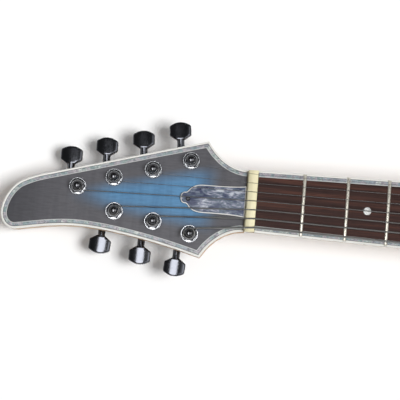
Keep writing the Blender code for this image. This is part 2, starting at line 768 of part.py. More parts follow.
def bushing_mesh():
    """Washer and hexagon nut on a threaded barrel that reaches the gear case."""
    barrel = BARREL_DIAMETER / 2
    washer = WASHER_DIAMETER / 2
    rim = 0.0004
    washer_top = FIT_GAP + WASHER_THICKNESS
    profile = (
        (0.0, -HEAD_THICKNESS), (barrel, -HEAD_THICKNESS), (barrel, FIT_GAP), (washer, FIT_GAP),
        (washer, washer_top - rim), (washer - rim, washer_top), (0.0, washer_top),
    )
    nut = place_object("bushing_blank", mesh_from(lathe(profile, TUNER_SIDES), "bushing"), "black_nickel")
    hexagon = ring_points(across_flats(HEX_ACROSS), 6)
    head = guide("hexagon", prism(hexagon, washer_top - FIT_GAP, BUSHING_TOP))
    bore = prism(ring_points(2 * POST_CLEARANCE, TUNER_SIDES), -HEAD_THICKNESS - PAST, PAST)
    through = guide("hexagon_bore", bore)
    combine(nut, [head], "UNION")
    combine(nut, [through], "DIFFERENCE")
    mesh = finished_mesh(nut)
    for used in (nut, head, through):
        bpy.data.objects.remove(used, do_unlink=True)
    return mesh


def button_outline():
    """Bean-shaped button: arched end, short straight sides and sloping shoulders to the stem."""
    half = BUTTON_WIDTH / 2
    stem = KEY_STEM_DIAMETER / 2
    bottom = KEY_REACH - BUTTON_HEIGHT / 2
    top = KEY_REACH + BUTTON_HEIGHT / 2
    runs = (
        ((half - 0.0006, bottom + 0.0042),),
        ((half, top - 0.0045),),
        ((half + 0.0002, top - 0.0018), (half - 0.0030, top), (0.0, top), 4),
    )
    right = curve_path((stem, bottom), runs)
    left = [(-x, y) for x, y in right[-2::-1]]
    return right + left


def key_mesh():
    """Button, stem and shaft in one; its origin is on the shaft's axis beside the post."""
    bm = prism(button_outline(), -BUTTON_THICKNESS / 2, BUTTON_THICKNESS / 2)
    rims = [e for e in bm.edges if abs(e.verts[0].co.z - e.verts[1].co.z) < 1e-6]
    bmesh.ops.bevel(bm, geom=rims, offset=0.0014, segments=1, profile=0.5, affect="EDGES", material=-1)
    key = place_object("key_blank", mesh_from(bm, "key"), "black_nickel")
    case_side = HOUSING_WIDTH / 2
    shaft = KEY_SHAFT_DIAMETER / 2
    stem = KEY_STEM_DIAMETER / 2
    inner = case_side - KEY_BORE_DEPTH + 2 * FIT_GAP
    collar = case_side + BORE_PLAY
    profile = (
        (0.0, inner), (shaft, inner), (shaft, collar), (stem, collar), (stem, KEY_REACH - BUTTON_HEIGHT / 2),
        (shaft, KEY_REACH), (0.0, KEY_REACH),
    )
    rod = guide("key_shaft", lathe(profile, 8), None, (0.0, 0.0, 0.0), (-math.pi / 2, 0.0, 0.0))
    combine(key, [rod], "UNION")
    mesh = finished_mesh(key)
    for used in (key, rod):
        bpy.data.objects.remove(used, do_unlink=True)
    return mesh


def make_tuners(plane):
    housings = {1: housing_mesh(1), -1: housing_mesh(-1)}
    post = post_mesh()
    bushing = bushing_mesh()
    key = key_mesh()
    for number, (u, v, side, lean) in enumerate(TUNER_PLACES, 1):
        frame = bpy.data.objects.new(f"tuner_frame_{number}", None)
        bpy.context.collection.objects.link(frame)
        frame.parent = plane
        frame.location = (-u, v, 0.0)
        turned = 0.0 if side > 0 else math.pi
        frame.rotation_euler = (0.0, 0.0, turned + side * math.radians(lean))
        place_object(f"tuner_housing_{number}", housings[side], "black_nickel", frame)
        place_object(f"tuner_bushing_{number}", bushing, "black_nickel", frame)
        place_object(f"tuner_post_{number}", post, "black_nickel", frame)
        axis = (-side * WORM_OFFSET, 0.0, key_axis_height())
        place_object(f"tuner_key_{number}", key, "black_nickel", frame, axis)


# Strings


def tangent_angle(start, centre, radius, turn):
    """Angle on the circle where a line from the start point touches it, for the given turning sense."""
    dx = start[0] - centre[0]
    dy = start[1] - centre[1]
    reach = math.hypot(dx, dy)
    return math.atan2(dy, dx) - turn * math.acos(radius / reach)


def span_points(number):
    """Route of one string from the bridge's rear wall over saddle and nut, to the back of the nut."""
    radius = STRING_DIAMETERS[number] / 2
    nut_y = string_side(number, NUT_SPREAD)
    saddle_y = string_side(number, SADDLE_SPREAD)
    saddle_z = string_height(0.0, saddle_y) + FIT_GAP + radius
    nut_z = string_height(NUT_FRONT_X, nut_y) + radius
    slope = (saddle_z - nut_z) / SCALE_LENGTH
    beyond = 0.001
    return [
        Vector((BRIDGE_REAR_X + beyond, saddle_y, ball_height())),
        Vector((BRIDGE_REAR_X - BRIDGE_WALL - beyond, saddle_y, ball_height())),
        Vector((SADDLE_CONTACT / 2, saddle_y, saddle_z)),
        Vector((-SADDLE_CONTACT / 2, saddle_y, saddle_z)),
        Vector((NUT_FRONT_X, nut_y, nut_z)),
        Vector((NUT_BACK_X - beyond / 2, nut_y, nut_z - slope * NUT_THICKNESS)),
    ]


def turn_points(number, leave):
    """Turns round the post, rising from just above the bushing; the last point is the string's end."""
    u, v, side = TUNER_PLACES[number][:3]
    radius = STRING_DIAMETERS[number] / 2
    pitch = 2 * radius + TURN_GAP
    plane = head_matrix()
    start = plane.inverted() @ leave
    turn = -side
    wrap = POST_DIAMETER / 2 + FIT_GAP + radius
    first = tangent_angle(start, (-u, v), wrap, turn)
    low = BUSHING_TOP + 2 * FIT_GAP + radius
    count = round(STRING_TURNS[number] * TURN_POINTS)
    points = []
    for step in range(count + 1):
        angle = first + turn * 2 * math.pi * step / TURN_POINTS
        height = low + pitch * step / TURN_POINTS
        points.append(plane @ Vector((-u + wrap * math.cos(angle), v + wrap * math.sin(angle), height)))
    return points


def least_self_gap(points, diameter):
    """Smallest gap between points of the turns that are more than half a turn apart."""
    least = math.inf
    for i, here in enumerate(points):
        for other in points[i + TURN_POINTS // 2:]:
            least = min(least, (here - other).length - diameter)
    return least


def make_string(number):
    """Round wire from the ball end to the end of its turns, as one unbroken tube."""
    diameter = STRING_DIAMETERS[number]
    span = span_points(number)
    turns = turn_points(number, span[-1])
    points = span + turns
    curve = bpy.data.curves.new(f"string_{number + 1}", "CURVE")
    curve.dimensions = "3D"
    curve.bevel_depth = diameter / 2
    curve.bevel_resolution = 1
    curve.use_fill_caps = True
    spline = curve.splines.new("POLY")
    spline.points.add(len(points) - 1)
    for target, point in zip(spline.points, points):
        target.co = (*point, 1.0)
    finish = "steel" if number < PLAIN_STRINGS else "wound_string"
    place_object(f"string_{number + 1}", curve, finish)
    print(f"string {number + 1}: least gap between its turns {least_self_gap(turns, diameter) * 1000:.2f} mm")


# Body


def body_outline():
    """Edge of the body from the bass side of the neck round the tail to the treble side."""
    runs = (
        ((-0.1880, -0.0480), (-0.1920, -0.0750), (-0.2220, -0.0810), 6),
        ((-0.2620, -0.0890), (-0.3050, -0.0940), (-0.3280, -0.1040), 2),
        ((-0.3420, -0.1090), (-0.3420, -0.1270), (-0.3280, -0.1320), 6),
        ((-0.2950, -0.1410), (-0.2550, -0.1500), (-0.2180, -0.1480), 4),
        ((-0.1780, -0.1460), (-0.1500, -0.1210), (-0.1120, -0.1210), 5),
        ((-0.0700, -0.1210), (-0.0480, -0.1630), (0.0080, -0.1630), 6),
        ((0.0620, -0.1630), (0.1040, -0.1180), (0.1040, -0.0500), 6),
        ((0.1080, -0.0180), (0.1080, 0.0180), (0.1040, 0.0500), 4),
        ((0.1000, 0.1120), (0.0640, 0.1600), (0.0080, 0.1600), 6),
        ((-0.0500, 0.1600), (-0.0740, 0.1160), (-0.1200, 0.1140), 6),
        ((-0.1550, 0.1130), (-0.1700, 0.1340), (-0.2120, 0.1310), 4),
        ((-0.2380, 0.1290), (-0.2520, 0.1220), (-0.2620, 0.1130), 2),
        ((-0.2720, 0.1040), (-0.2660, 0.0880), (-0.2500, 0.0860), 4),
        ((-0.2280, 0.0830), (-0.2120, 0.0800), (-0.1960, 0.0760), 2),
        ((-0.1660, 0.0700), (-0.1660, 0.0440), (-0.1960, 0.0385), 6),
    )
    return curve_path((-0.2080, -0.0390), runs)


def neck_pocket(label, floor):
    """Pocket that takes the heel; it is open towards the nut."""
    front = BOARD_END_X - FAR
    end = BOARD_END_X + FIT_GAP
    points = []
    for x, sign in ((front, -1), (end, -1), (end, 1), (front, 1)):
        points.append((x, sign * (board_half_width(x) + FIT_GAP)))
    return guide(label, prism(points, floor, FAR))


def pickup_space(label, x, floor):
    size = (PICKUP_WIDTH + 2 * PICKUP_PLAY, PICKUP_LENGTH + 2 * PICKUP_PLAY)
    return guide(label, prism(rounded_rectangle((x, 0.0), size, PICKUP_CORNER + PICKUP_PLAY), floor, FAR))


def cavity_far_side():
    """Edge of the control space towards the side of the body."""
    return SELECTOR_PLACE[1] + SWITCH_WIDTH / 2 + CAVITY_ROOM


def cavity_outline(margin):
    """Control space, drawn round the two pots and the switch; the margin widens it for the cover."""
    reach = POT_DIAMETER / 2 + CAVITY_ROOM
    left = SELECTOR_PLACE[0] - SWITCH_LENGTH / 2 - CAVITY_ROOM
    right = max(TONE_PLACE[0], VOLUME_PLACE[0]) + reach
    low = min(TONE_PLACE[1], VOLUME_PLACE[1]) - reach
    high = max(cavity_far_side(), max(TONE_PLACE[1], VOLUME_PLACE[1]) + reach)
    size = (right - left + 2 * margin, high - low + 2 * margin)
    return rounded_rectangle(((left + right) / 2, (low + high) / 2), size, CAVITY_CORNER, 5)


def jack_edge():
    """How far out the side of the body is where the jack sits."""
    outline = body_outline()
    for before, after in zip(outline, outline[1:]):
        if before[1] > 0.1 and (before[0] - JACK_X) * (after[0] - JACK_X) <= 0.0:
            share = (JACK_X - before[0]) / (after[0] - before[0])
            return before[1] + share * (after[1] - before[1])
    return max(point[1] for point in outline)


def jack_seat():
    """How far out the flat seat of the jack's flange is, sunk a little into the side."""
    return jack_edge() - JACK_SEAT_DEPTH


def jack_cuts(label):
    """Flat seat for the jack's flange, and the bore from there into the control space."""
    bore = JACK_BARREL_DIAMETER + 2 * BORE_PLAY
    flange = JACK_FLANGE_DIAMETER + 2 * JACK_FLANGE_PLAY
    seat = jack_seat()
    place = (JACK_X, seat, SIDE_MIDDLE)
    face_out = (-math.pi / 2, 0.0, 0.0)
    spot = guide(f"{label}_spot", prism(ring_points(flange, 24), 0.0, PAST), None, place, face_out)
    reach = seat - cavity_far_side() + PAST
    hole = guide(f"{label}_bore", prism(ring_points(bore, 20), -reach, PAST), None, place, face_out)
    return [spot, hole]


def make_body_core():
    """Back and sides, with the pocket and the cavities."""
    bm = prism(body_outline(), 0.0, CORE_THICKNESS)
    back_edges = [e for e in bm.edges if all(v.co.z < CORE_THICKNESS / 2 for v in e.verts)]
    bmesh.ops.bevel(
        bm, geom=back_edges, offset=BACK_EDGE_RADIUS, segments=2, profile=0.5, affect="EDGES", material=-1
    )
    core = piece("body_core", bm, "mahogany")
    cover = cavity_outline(COVER_LEDGE + FIT_GAP)
    cuts = [
        neck_pocket("core_pocket", HEEL_BOTTOM - FIT_GAP),
        pickup_space("core_neck_pickup", NECK_PICKUP_X, PICKUP_FLOOR - FIT_GAP),
        pickup_space("core_bridge_pickup", BRIDGE_PICKUP_X, PICKUP_FLOOR - FIT_GAP),
        guide("core_cavity", prism(cavity_outline(0.0), -PAST, FAR)),
        guide("core_cover_ledge", prism(cover, -PAST, COVER_PLATE + 2 * FIT_GAP)),
    ]
    combine(core, cuts + jack_cuts("core_jack"), "DIFFERENCE")


def top_outline():
    """Cap edge inside the binding strip."""
    return offset_path(body_outline(), BODY_BINDING + FIT_GAP, closed=True)


def make_body_top():
    """Carved cap that rises from its bound edge to the level middle."""
    bottom = CORE_THICKNESS + FIT_GAP
    bm = prism(top_outline(), bottom, BODY_SIDE_HEIGHT)
    bmesh.ops.recalc_face_normals(bm, faces=bm.faces)
    lid = max(bm.faces, key=lambda face: face.calc_center_median().z)
    for width, rise in CARVE_STEPS:
        bmesh.ops.inset_region(bm, faces=[lid], thickness=width, depth=0.0, use_even_offset=True)
        bmesh.ops.translate(bm, verts=list(lid.verts), vec=(0, 0, rise))
    top = piece("body_top", bm, "blue_lacquer")
    bush = BUSH_DIAMETER + 2 * BORE_PLAY
    slot_length = lever_slot_length()
    slot_size = (slot_length, LEVER_THICKNESS + 2 * SLOT_PLAY)
    slot = rounded_rectangle(SELECTOR_PLACE, slot_size, slot_size[1] / 3, 3)
    cuts = [
        neck_pocket("top_pocket", 0.0),
        pickup_space("top_neck_pickup", NECK_PICKUP_X, 0.0),
        pickup_space("top_bridge_pickup", BRIDGE_PICKUP_X, 0.0),
        guide("top_cavity", prism(cavity_outline(0.0), 0.0, CAVITY_CEILING)),
        guide("top_volume_hole", prism(ring_points(bush, 20, VOLUME_PLACE), 0.0, FAR)),
        guide("top_tone_hole", prism(ring_points(bush, 20, TONE_PLACE), 0.0, FAR)),
        guide("top_lever_slot", prism(slot, 0.0, FAR)),
    ]
    combine(top, cuts + jack_cuts("top_jack"), "DIFFERENCE")


def make_body_binding():
    """White strip round the cap; it stops at both sides of the neck."""
    outer = body_outline()
    inner = offset_path(outer, BODY_BINDING, closed=False)
    strip = prism(outer + inner[::-1], CORE_THICKNESS + FIT_GAP, BODY_SIDE_HEIGHT)
    binding = piece("body_binding", strip, "white_plastic")
    cuts = [neck_pocket("binding_pocket", 0.0)] + jack_cuts("binding_jack")
    combine(binding, cuts, "DIFFERENCE")


def make_control_cover():
    plate = prism(cavity_outline(COVER_LEDGE), FIT_GAP, COVER_PLATE)
    piece("control_cover", plate, "black_plastic")


# Pickups


def make_pickup(name, x):
    """Two coils on one base plate, held in the body's space."""
    outline = rounded_rectangle((x, 0.0), (PICKUP_WIDTH, PICKUP_LENGTH), PICKUP_CORNER)
    shoulder = PICKUP_TOP - BOBBIN_HEIGHT
    body = piece(name, prism(outline, PICKUP_FLOOR, shoulder), "black_plastic")
    coils = bmesh.new()
    for side in (-1, 1):
        centre = (x + side * (BOBBIN_WIDTH + BOBBIN_GAP) / 2, 0.0)
        coil = (BOBBIN_WIDTH, PICKUP_LENGTH - PICKUP_CORNER)
        prism(rounded_rectangle(centre, coil, BOBBIN_WIDTH * 0.47, 5), shoulder - FIT_GAP, PICKUP_TOP, coils)
    combine(body, [guide(f"{name}_coils", coils)], "UNION")


# Bridge


def ball_height():
    """Centre line of the strings where they pass the rear wall of the bridge."""
    return BODY_THICKNESS + FIT_GAP + BRIDGE_THICKNESS + BALL_RISE


def make_bridge():
    """Fixed bridge: base plate, rear wall and one saddle for each string."""
    bottom = BODY_THICKNESS + FIT_GAP
    top = bottom + BRIDGE_THICKNESS
    middle = ((BRIDGE_FRONT_X + BRIDGE_REAR_X) / 2, 0.0)
    plate = prism(rounded_rectangle(middle, (BRIDGE_LENGTH, BRIDGE_WIDTH), BRIDGE_CORNER), bottom, top)
    bridge = piece("bridge", plate, "black_nickel")
    side = BRIDGE_WIDTH / 2 - BRIDGE_CORNER
    low = (BRIDGE_REAR_X - BRIDGE_WALL, -side, top - BRIDGE_THICKNESS / 2)
    wall = box(low, (BRIDGE_REAR_X, side, top + BRIDGE_WALL_RISE))
    saddles = bmesh.new()
    for number in range(STRING_COUNT):
        add_saddle(saddles, string_side(number, SADDLE_SPREAD), top)
    parts = [guide("bridge_wall", wall), guide("saddles", saddles)]
    combine(bridge, parts, "UNION")
    along = (0.0, math.pi / 2, 0.0)
    bores = []
    for number in range(STRING_COUNT):
        hole = prism(ring_points(BALL_BORE, 8), -BRIDGE_WALL / 2, 2 * BRIDGE_WALL)
        place = (low[0], string_side(number, SADDLE_SPREAD), ball_height())
        bores.append(guide(f"ball_bore_{number + 1}", hole, None, place, along))
    combine(bridge, bores, "DIFFERENCE")


def add_saddle(bm, y, base_top):
    """One saddle: a block with its crest on the scale line and a back that slopes down."""
    crest = string_height(0.0, y)
    sunk = base_top - FIT_GAP
    rear = SADDLE_LENGTH - SADDLE_FRONT
    profile = (
        (-SADDLE_FRONT, sunk), (rear, sunk), (rear, base_top + 0.0032), (0.0025, crest - 0.0018),
        (0.0, crest), (-0.0022, crest - 0.0009), (-SADDLE_FRONT, crest - 0.004),
    )
    near = [bm.verts.new((x, y - SADDLE_WIDTH / 2, z)) for x, z in profile]
    face = bm.faces.new(near)
    pulled = bmesh.ops.extrude_face_region(bm, geom=[face])
    moved = [item for item in pulled["geom"] if isinstance(item, bmesh.types.BMVert)]
    bmesh.ops.translate(bm, verts=moved, vec=(0, SADDLE_WIDTH, 0))


# Controls


def pot_nut_top():
    return BODY_THICKNESS + FIT_GAP + POT_NUT_HEIGHT


def make_pot(name, place):
    """Potentiometer under the top: can, threaded bush and nut, with a bore for the knob's shaft."""
    can = POT_DIAMETER / 2
    bush = BUSH_DIAMETER / 2
    floor = POT_TOP - POT_HEIGHT
    bush_top = pot_nut_top() + BUSH_PROUD
    profile = ((0.0, floor), (can, floor), (can, POT_TOP), (bush, POT_TOP), (bush, bush_top), (0.0, bush_top))
    base = (*place, 0.0)
    pot = piece(name, lathe(profile, 14), "steel", None, base)
    hexagon = prism(ring_points(across_flats(POT_NUT_ACROSS), 6), BODY_THICKNESS + FIT_GAP, pot_nut_top())
    bore = prism(ring_points(POT_SHAFT_DIAMETER + 2 * BORE_PLAY, 14), POT_TOP - SHAFT_SINK, FAR)
    combine(pot, [guide(f"{name}_nut", hexagon, None, base)], "UNION")
    combine(pot, [guide(f"{name}_nut_bore", bore, None, base)], "DIFFERENCE")


def make_knob(name, place):
    """Domed knob with its shaft, hollow below round the pot's nut."""
    radius = KNOB_DIAMETER / 2
    edge = 0.0015
    bottom = BODY_THICKNESS + KNOB_LIFT
    top = bottom + KNOB_HEIGHT
    recess = across_flats(POT_NUT_ACROSS) / 2 + 2 * BORE_PLAY
    recess_top = pot_nut_top() + BUSH_PROUD + 2 * FIT_GAP
    shaft = POT_SHAFT_DIAMETER / 2
    shaft_end = POT_TOP - SHAFT_SINK + FIT_GAP
    profile = (
        (0.0, shaft_end), (shaft, shaft_end), (shaft, recess_top), (recess, recess_top), (recess, bottom),
        (radius, bottom), (radius, bottom + edge), (radius - edge / 2, top - edge),
        (radius - 1.5 * edge, top), (0.0, top),
    )
    piece(name, lathe(profile, 18), "black_nickel", None, (*place, 0.0))


def lever_slot_length():
    """Slot in the top, long enough for the blade at both ends of its swing."""
    rise = BODY_THICKNESS - LEVER_PIVOT_HEIGHT
    return 2 * (rise * math.tan(LEVER_SWING) + LEVER_WIDTH / 2 / math.cos(LEVER_SWING) + SLOT_PLAY)


def make_selector():
    """Blade switch: a lever on a pin between two cheeks."""
    x, y = SELECTOR_PLACE
    low = (x - SWITCH_LENGTH / 2, y - SWITCH_WIDTH / 2, POT_TOP - SWITCH_HEIGHT)
    high = (x + SWITCH_LENGTH / 2, y + SWITCH_WIDTH / 2, POT_TOP)
    case = piece("selector_switch", box(low, high), "black_plastic")
    gap = LEVER_THICKNESS / 2 + SLOT_PLAY
    room = lever_slot_length() / 2 + SLOT_PLAY
    slot = box((x - room, y - gap, LEVER_PIVOT_HEIGHT - LEVER_WIDTH), (x + room, y + gap, POT_TOP + PAST))
    pin_bore = prism(ring_points(LEVER_PIN + 2 * BORE_PLAY, 12), -SWITCH_WIDTH, SWITCH_WIDTH)
    level = (x, y, LEVER_PIVOT_HEIGHT)
    across = (math.pi / 2, 0.0, 0.0)
    cuts = [guide("switch_slot", slot), guide("pin_bore", pin_bore, None, level, across)]
    combine(case, cuts, "DIFFERENCE")

    half = LEVER_WIDTH / 2
    tip = LEVER_TIP_DIAMETER / 2
    tip_low = LEVER_TIP_BOTTOM - LEVER_PIVOT_HEIGHT
    tip_high = LEVER_TIP_TOP - LEVER_PIVOT_HEIGHT
    rounding = LEVER_TIP_LENGTH / 4
    blade = [(-side, below) for below, side in half_circle(half)]
    blade += [(half, tip_low + rounding), (-half, tip_low + rounding)]
    flat = prism(blade, -LEVER_THICKNESS / 2, LEVER_THICKNESS / 2)
    bmesh.ops.rotate(flat, verts=flat.verts, cent=(0, 0, 0), matrix=Matrix.Rotation(math.pi / 2, 3, "X"))
    lever = piece("selector_lever", flat, "steel", None, level)
    profile = (
        (0.0, tip_low), (tip - rounding / 2, tip_low), (tip, tip_low + rounding), (tip, tip_high - rounding),
        (tip - rounding / 2, tip_high), (0.0, tip_high),
    )
    cap = guide("lever_cap", lathe(profile, 12), lever)
    axle_half = SWITCH_WIDTH / 2 - FIT_GAP
    axle = prism(ring_points(LEVER_PIN, 12), -axle_half, axle_half)
    combine(lever, [cap, guide("lever_pin", axle, lever, (0.0, 0.0, 0.0), across)], "UNION")


# Jack and strap buttons


def make_jack():
    """Barrel jack in the lower side; its socket opens outwards."""
    flange = JACK_FLANGE_DIAMETER / 2
    barrel = JACK_BARREL_DIAMETER / 2
    bore = JACK_BORE / 2
    face = FIT_GAP + JACK_FLANGE_THICKNESS
    rim = 0.0006
    end = face - JACK_BORE_DEPTH
    profile = (
        (0.0, -JACK_BARREL_LENGTH), (barrel, -JACK_BARREL_LENGTH), (barrel, FIT_GAP), (flange, FIT_GAP),
        (flange, face - rim), (flange - rim, face), (bore, face), (bore, end), (0.0, end),
    )
    place = (JACK_X, jack_seat(), SIDE_MIDDLE)
    piece("output_jack", lathe(profile, 18), "black_nickel", None, place, (-math.pi / 2, 0.0, 0.0))


def make_strap_button(name, place, turn):
    """Turned button with a waist for the strap."""
    flange = STRAP_BUTTON_DIAMETER / 2
    foot = STRAP_BUTTON_FOOT / 2
    waist = STRAP_BUTTON_WAIST / 2
    rim = 0.0012
    top = STRAP_BUTTON_LENGTH
    profile = (
        (0.0, FIT_GAP), (foot, FIT_GAP), (foot, FIT_GAP + rim), (waist, FIT_GAP + 3 * rim),
        (waist, top - 4 * rim), (flange, top - 2 * rim), (flange, top - rim), (flange - rim, top), (0.0, top),
    )
    piece(name, lathe(profile, 14), "black_nickel", None, place, turn)


def make_strap_buttons():
    outline = body_outline()
    tail = max(point[0] for point in outline)
    horn = min(outline, key=lambda point: point[0])
    make_strap_button("strap_button_tail", (tail, 0.0, SIDE_MIDDLE), (0.0, math.pi / 2, 0.0))
    make_strap_button("strap_button_horn", (horn[0], horn[1], SIDE_MIDDLE), (0.0, -math.pi / 2, 0.0))


def main():
    remove_old_objects()
    plane = make_head_plane()
    make_body_core()
    make_body_top()
    make_body_binding()
    make_control_cover()
    make_neck(plane)
    make_truss_rod()
    make_fingerboard()
    make_nut()
    make_headstock_trim(plane)
    make_rod_cover(plane)
    make_tuners(plane)
    make_pickup("pickup_neck", NECK_PICKUP_X)
    make_pickup("pickup_bridge", BRIDGE_PICKUP_X)
    make_bridge()
    make_pot("volume_pot", VOLUME_PLACE)
    make_pot("tone_pot", TONE_PLACE)
    make_knob("volume_knob", VOLUME_PLACE)
    make_knob("tone_knob", TONE_PLACE)
    make_selector()
    make_jack()
    make_strap_buttons()
    for number in range(STRING_COUNT):
        make_string(number)
    bpy.context.view_layer.update()


main()
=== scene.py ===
# %% [markdown]
# A seven-string electric guitar, finished for a close look. The frame that is loaded
# here already holds every piece at its real size and place. What is left is what the
# eye reads first: round edges, inlaid shell, plated metal, lacquer and soft light.
# Lengths are in metres. X runs from the tip of the headstock towards the tail, Y from
# the bass side to the treble side, and Z from the back of the body up to the strings.

# %% Load the frame
import json
import math

import bmesh
import bpy
from mathutils import Matrix, Vector


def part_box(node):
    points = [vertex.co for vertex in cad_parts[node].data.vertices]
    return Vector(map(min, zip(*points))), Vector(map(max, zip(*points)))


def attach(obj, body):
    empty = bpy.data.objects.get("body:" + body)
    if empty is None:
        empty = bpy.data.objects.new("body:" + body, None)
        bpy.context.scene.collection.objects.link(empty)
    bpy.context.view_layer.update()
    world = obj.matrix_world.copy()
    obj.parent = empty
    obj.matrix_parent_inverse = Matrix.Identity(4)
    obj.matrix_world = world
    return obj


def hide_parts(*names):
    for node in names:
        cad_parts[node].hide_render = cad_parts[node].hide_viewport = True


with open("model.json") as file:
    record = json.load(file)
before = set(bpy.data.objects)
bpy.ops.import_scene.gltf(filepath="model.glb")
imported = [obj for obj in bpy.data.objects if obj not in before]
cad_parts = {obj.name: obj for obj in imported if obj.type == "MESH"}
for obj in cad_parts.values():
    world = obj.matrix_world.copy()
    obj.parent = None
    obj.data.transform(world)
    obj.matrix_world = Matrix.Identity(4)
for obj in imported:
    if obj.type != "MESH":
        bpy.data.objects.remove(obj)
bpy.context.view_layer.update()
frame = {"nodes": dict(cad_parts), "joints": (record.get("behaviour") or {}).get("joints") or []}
print("nodes in the frame:", len(frame["nodes"]))

# %% [markdown]
# A few sizes drive everything below. They are those of the instrument: the scale, the
# round of the fingerboard, the lean of the headstock and the gauges of the strings.

# %% Driving sizes
SCALE_LENGTH = 0.648
FRET_COUNT = 24
BOARD_RADIUS = 0.400
BOARD_THICKNESS = 0.0065
SURFACE = 0.0545
BODY_TOP = 0.045
FIT_GAP = 0.0003
HEAD_TILT = math.radians(7.0)
HEAD_FACE = 0.050
HEAD_THICKNESS = 0.014
STRING_DIAMETERS = (0.00025, 0.00033, 0.00043, 0.00066, 0.00091, 0.00117, 0.0015)
STRING_TURNS = (2.25, 2.25, 1.75, 1.75, 1.75, 1.25, 1.25)
STRING_COUNT = len(STRING_DIAMETERS)
PLAIN_STRINGS = 3
NUT_SPREAD = 0.0411
SADDLE_SPREAD = 0.063

nut_low, nut_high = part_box("nut")
binding_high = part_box("fingerboard_binding")[1]
nut_back = nut_low.x
nut_front = -SCALE_LENGTH
board_end = binding_high.x
board_slope = (binding_high.y - nut_high.y) / (board_end - nut_back)


def board_half(x):
    """Half the width of the fingerboard at a place along the neck."""
    return nut_high.y + board_slope * (x - nut_back)


def crown_drop(y):
    """How far the round surface of the board falls away from its centre line."""
    return BOARD_RADIUS - math.sqrt(BOARD_RADIUS ** 2 - y * y)


def fret_x(number):
    """Each fret divides the string by the twelfth root of two."""
    return -SCALE_LENGTH * 2 ** (-number / 12)


def string_side(number, spread):
    """Side position of a string, counted from the treble side."""
    return spread * (0.5 - number / (STRING_COUNT - 1))


head_plane = Matrix.Translation((nut_back, 0, HEAD_FACE)) @ Matrix.Rotation(-HEAD_TILT, 4, "Y")
for place, x in (("nut", nut_back), ("end", board_end)):
    print("half width of the board at its", place, round(board_half(x), 4))

# %% [markdown]
# Nearly every piece here is one of three shapes: an outline pulled up into a plate, a
# profile turned into a round body, or a finer copy of a piece of the frame. Each gets a
# short helper, so that the cells below only say what is special about their piece.
# Outlines are lists of (x, y) points and profiles are lists of (radius, height) points.

# %% Outlines and profiles
def curve_path(start, runs):
    """Points along runs of (handle, handle, end, steps); a run of one point is straight."""
    points = []
    here = Vector(start)
    for run in runs:
        if len(run) == 1:
            points.append(here)
            here = Vector(run[0])
            continue
        first, second, end = (Vector(corner) for corner in run[:3])
        for step in range(run[3]):
            t = step / run[3]
            s = 1 - t
            points.append(here * s ** 3 + first * 3 * s * s * t + second * 3 * s * t * t + end * t ** 3)
        here = end
    points.append(here)
    return [tuple(point) for point in points]


def ring(radius, sides, centre=(0.0, 0.0)):
    """Corners of a regular polygon, counted from the side of +X."""
    angles = [2 * math.pi * side / sides for side in range(sides)]
    return [(centre[0] + radius * math.cos(a), centre[1] + radius * math.sin(a)) for a in angles]


def rounded_rectangle(centre, size, radius, steps=6):
    points = []
    for corner, (sign_x, sign_y) in enumerate(((1, 1), (-1, 1), (-1, -1), (1, -1))):
        middle_x = centre[0] + sign_x * (size[0] / 2 - radius)
        middle_y = centre[1] + sign_y * (size[1] / 2 - radius)
        for step in range(steps + 1):
            angle = math.pi / 2 * (corner + step / steps)
            points.append((middle_x + radius * math.cos(angle), middle_y + radius * math.sin(angle)))
    return points


def quarter_round(radius, base, rise, steps, fullness=1.0):
    """Profile of a dome from its rim to its top; a fullness below 1 squares its shoulder."""
    angles = [math.pi / 2 * step / steps for step in range(steps + 1)]
    return [(radius * math.cos(a) ** fullness, base + rise * math.sin(a)) for a in angles]


print("a quarter round of 2 steps:", [tuple(round(c, 2) for c in p) for p in quarter_round(1, 0, 1, 2)])

# %% [markdown]
# A shape is made at the origin, where its numbers are simple. A matrix moves and turns it
# to its place afterwards, and the object itself stays unmoved.

# %% Helpers for places
ON_SIDE = Matrix.Rotation(math.pi / 2, 4, "X")
FACE_DOWN = Matrix.Rotation(math.pi, 4, "X")


def at(x, y, z):
    return Matrix.Translation((x, y, z))


def axes_at(place, across, out, up):
    """A matrix that turns a shape to three axes and moves it to a place."""
    return Matrix.Translation(place) @ Matrix((across, out, up)).transposed().to_4x4()


def along(start, end):
    """A matrix that lays the Z axis of a turned body from one point towards another."""
    turn = (Vector(end) - Vector(start)).to_track_quat("Z", "Y").to_matrix().to_4x4()
    return Matrix.Translation(start) @ turn


def placed(bm, matrix):
    bmesh.ops.transform(bm, matrix=matrix, verts=bm.verts)
    return bm


print("a point laid on its side:", [round(c, 2) for c in ON_SIDE @ Vector((1, 2, 3))])

# %% [markdown]
# The operators of bmesh do the rest. A flat face is extruded into a plate, and the rim of
# its top is bevelled. Insetting a face first leaves a ring, for trim that follows an edge.

# %% Plates
def round_edges(bm, edges, width, segments=2):
    bmesh.ops.bevel(
        bm, geom=edges, offset=width, offset_type="OFFSET", segments=segments, profile=0.5,
        affect="EDGES", clamp_overlap=True, material=-1,
    )


def flat_face(outline):
    bm = bmesh.new()
    face = bm.faces.new([bm.verts.new((x, y, 0.0)) for x, y in outline])
    face.normal_update()
    return bm, face


def inset(bm, face, width):
    """Shrinks a face and gives the ring of faces that is left round it."""
    return bmesh.ops.inset_region(
        bm, faces=[face], thickness=width, use_boundary=True, use_even_offset=True,
    )["faces"]


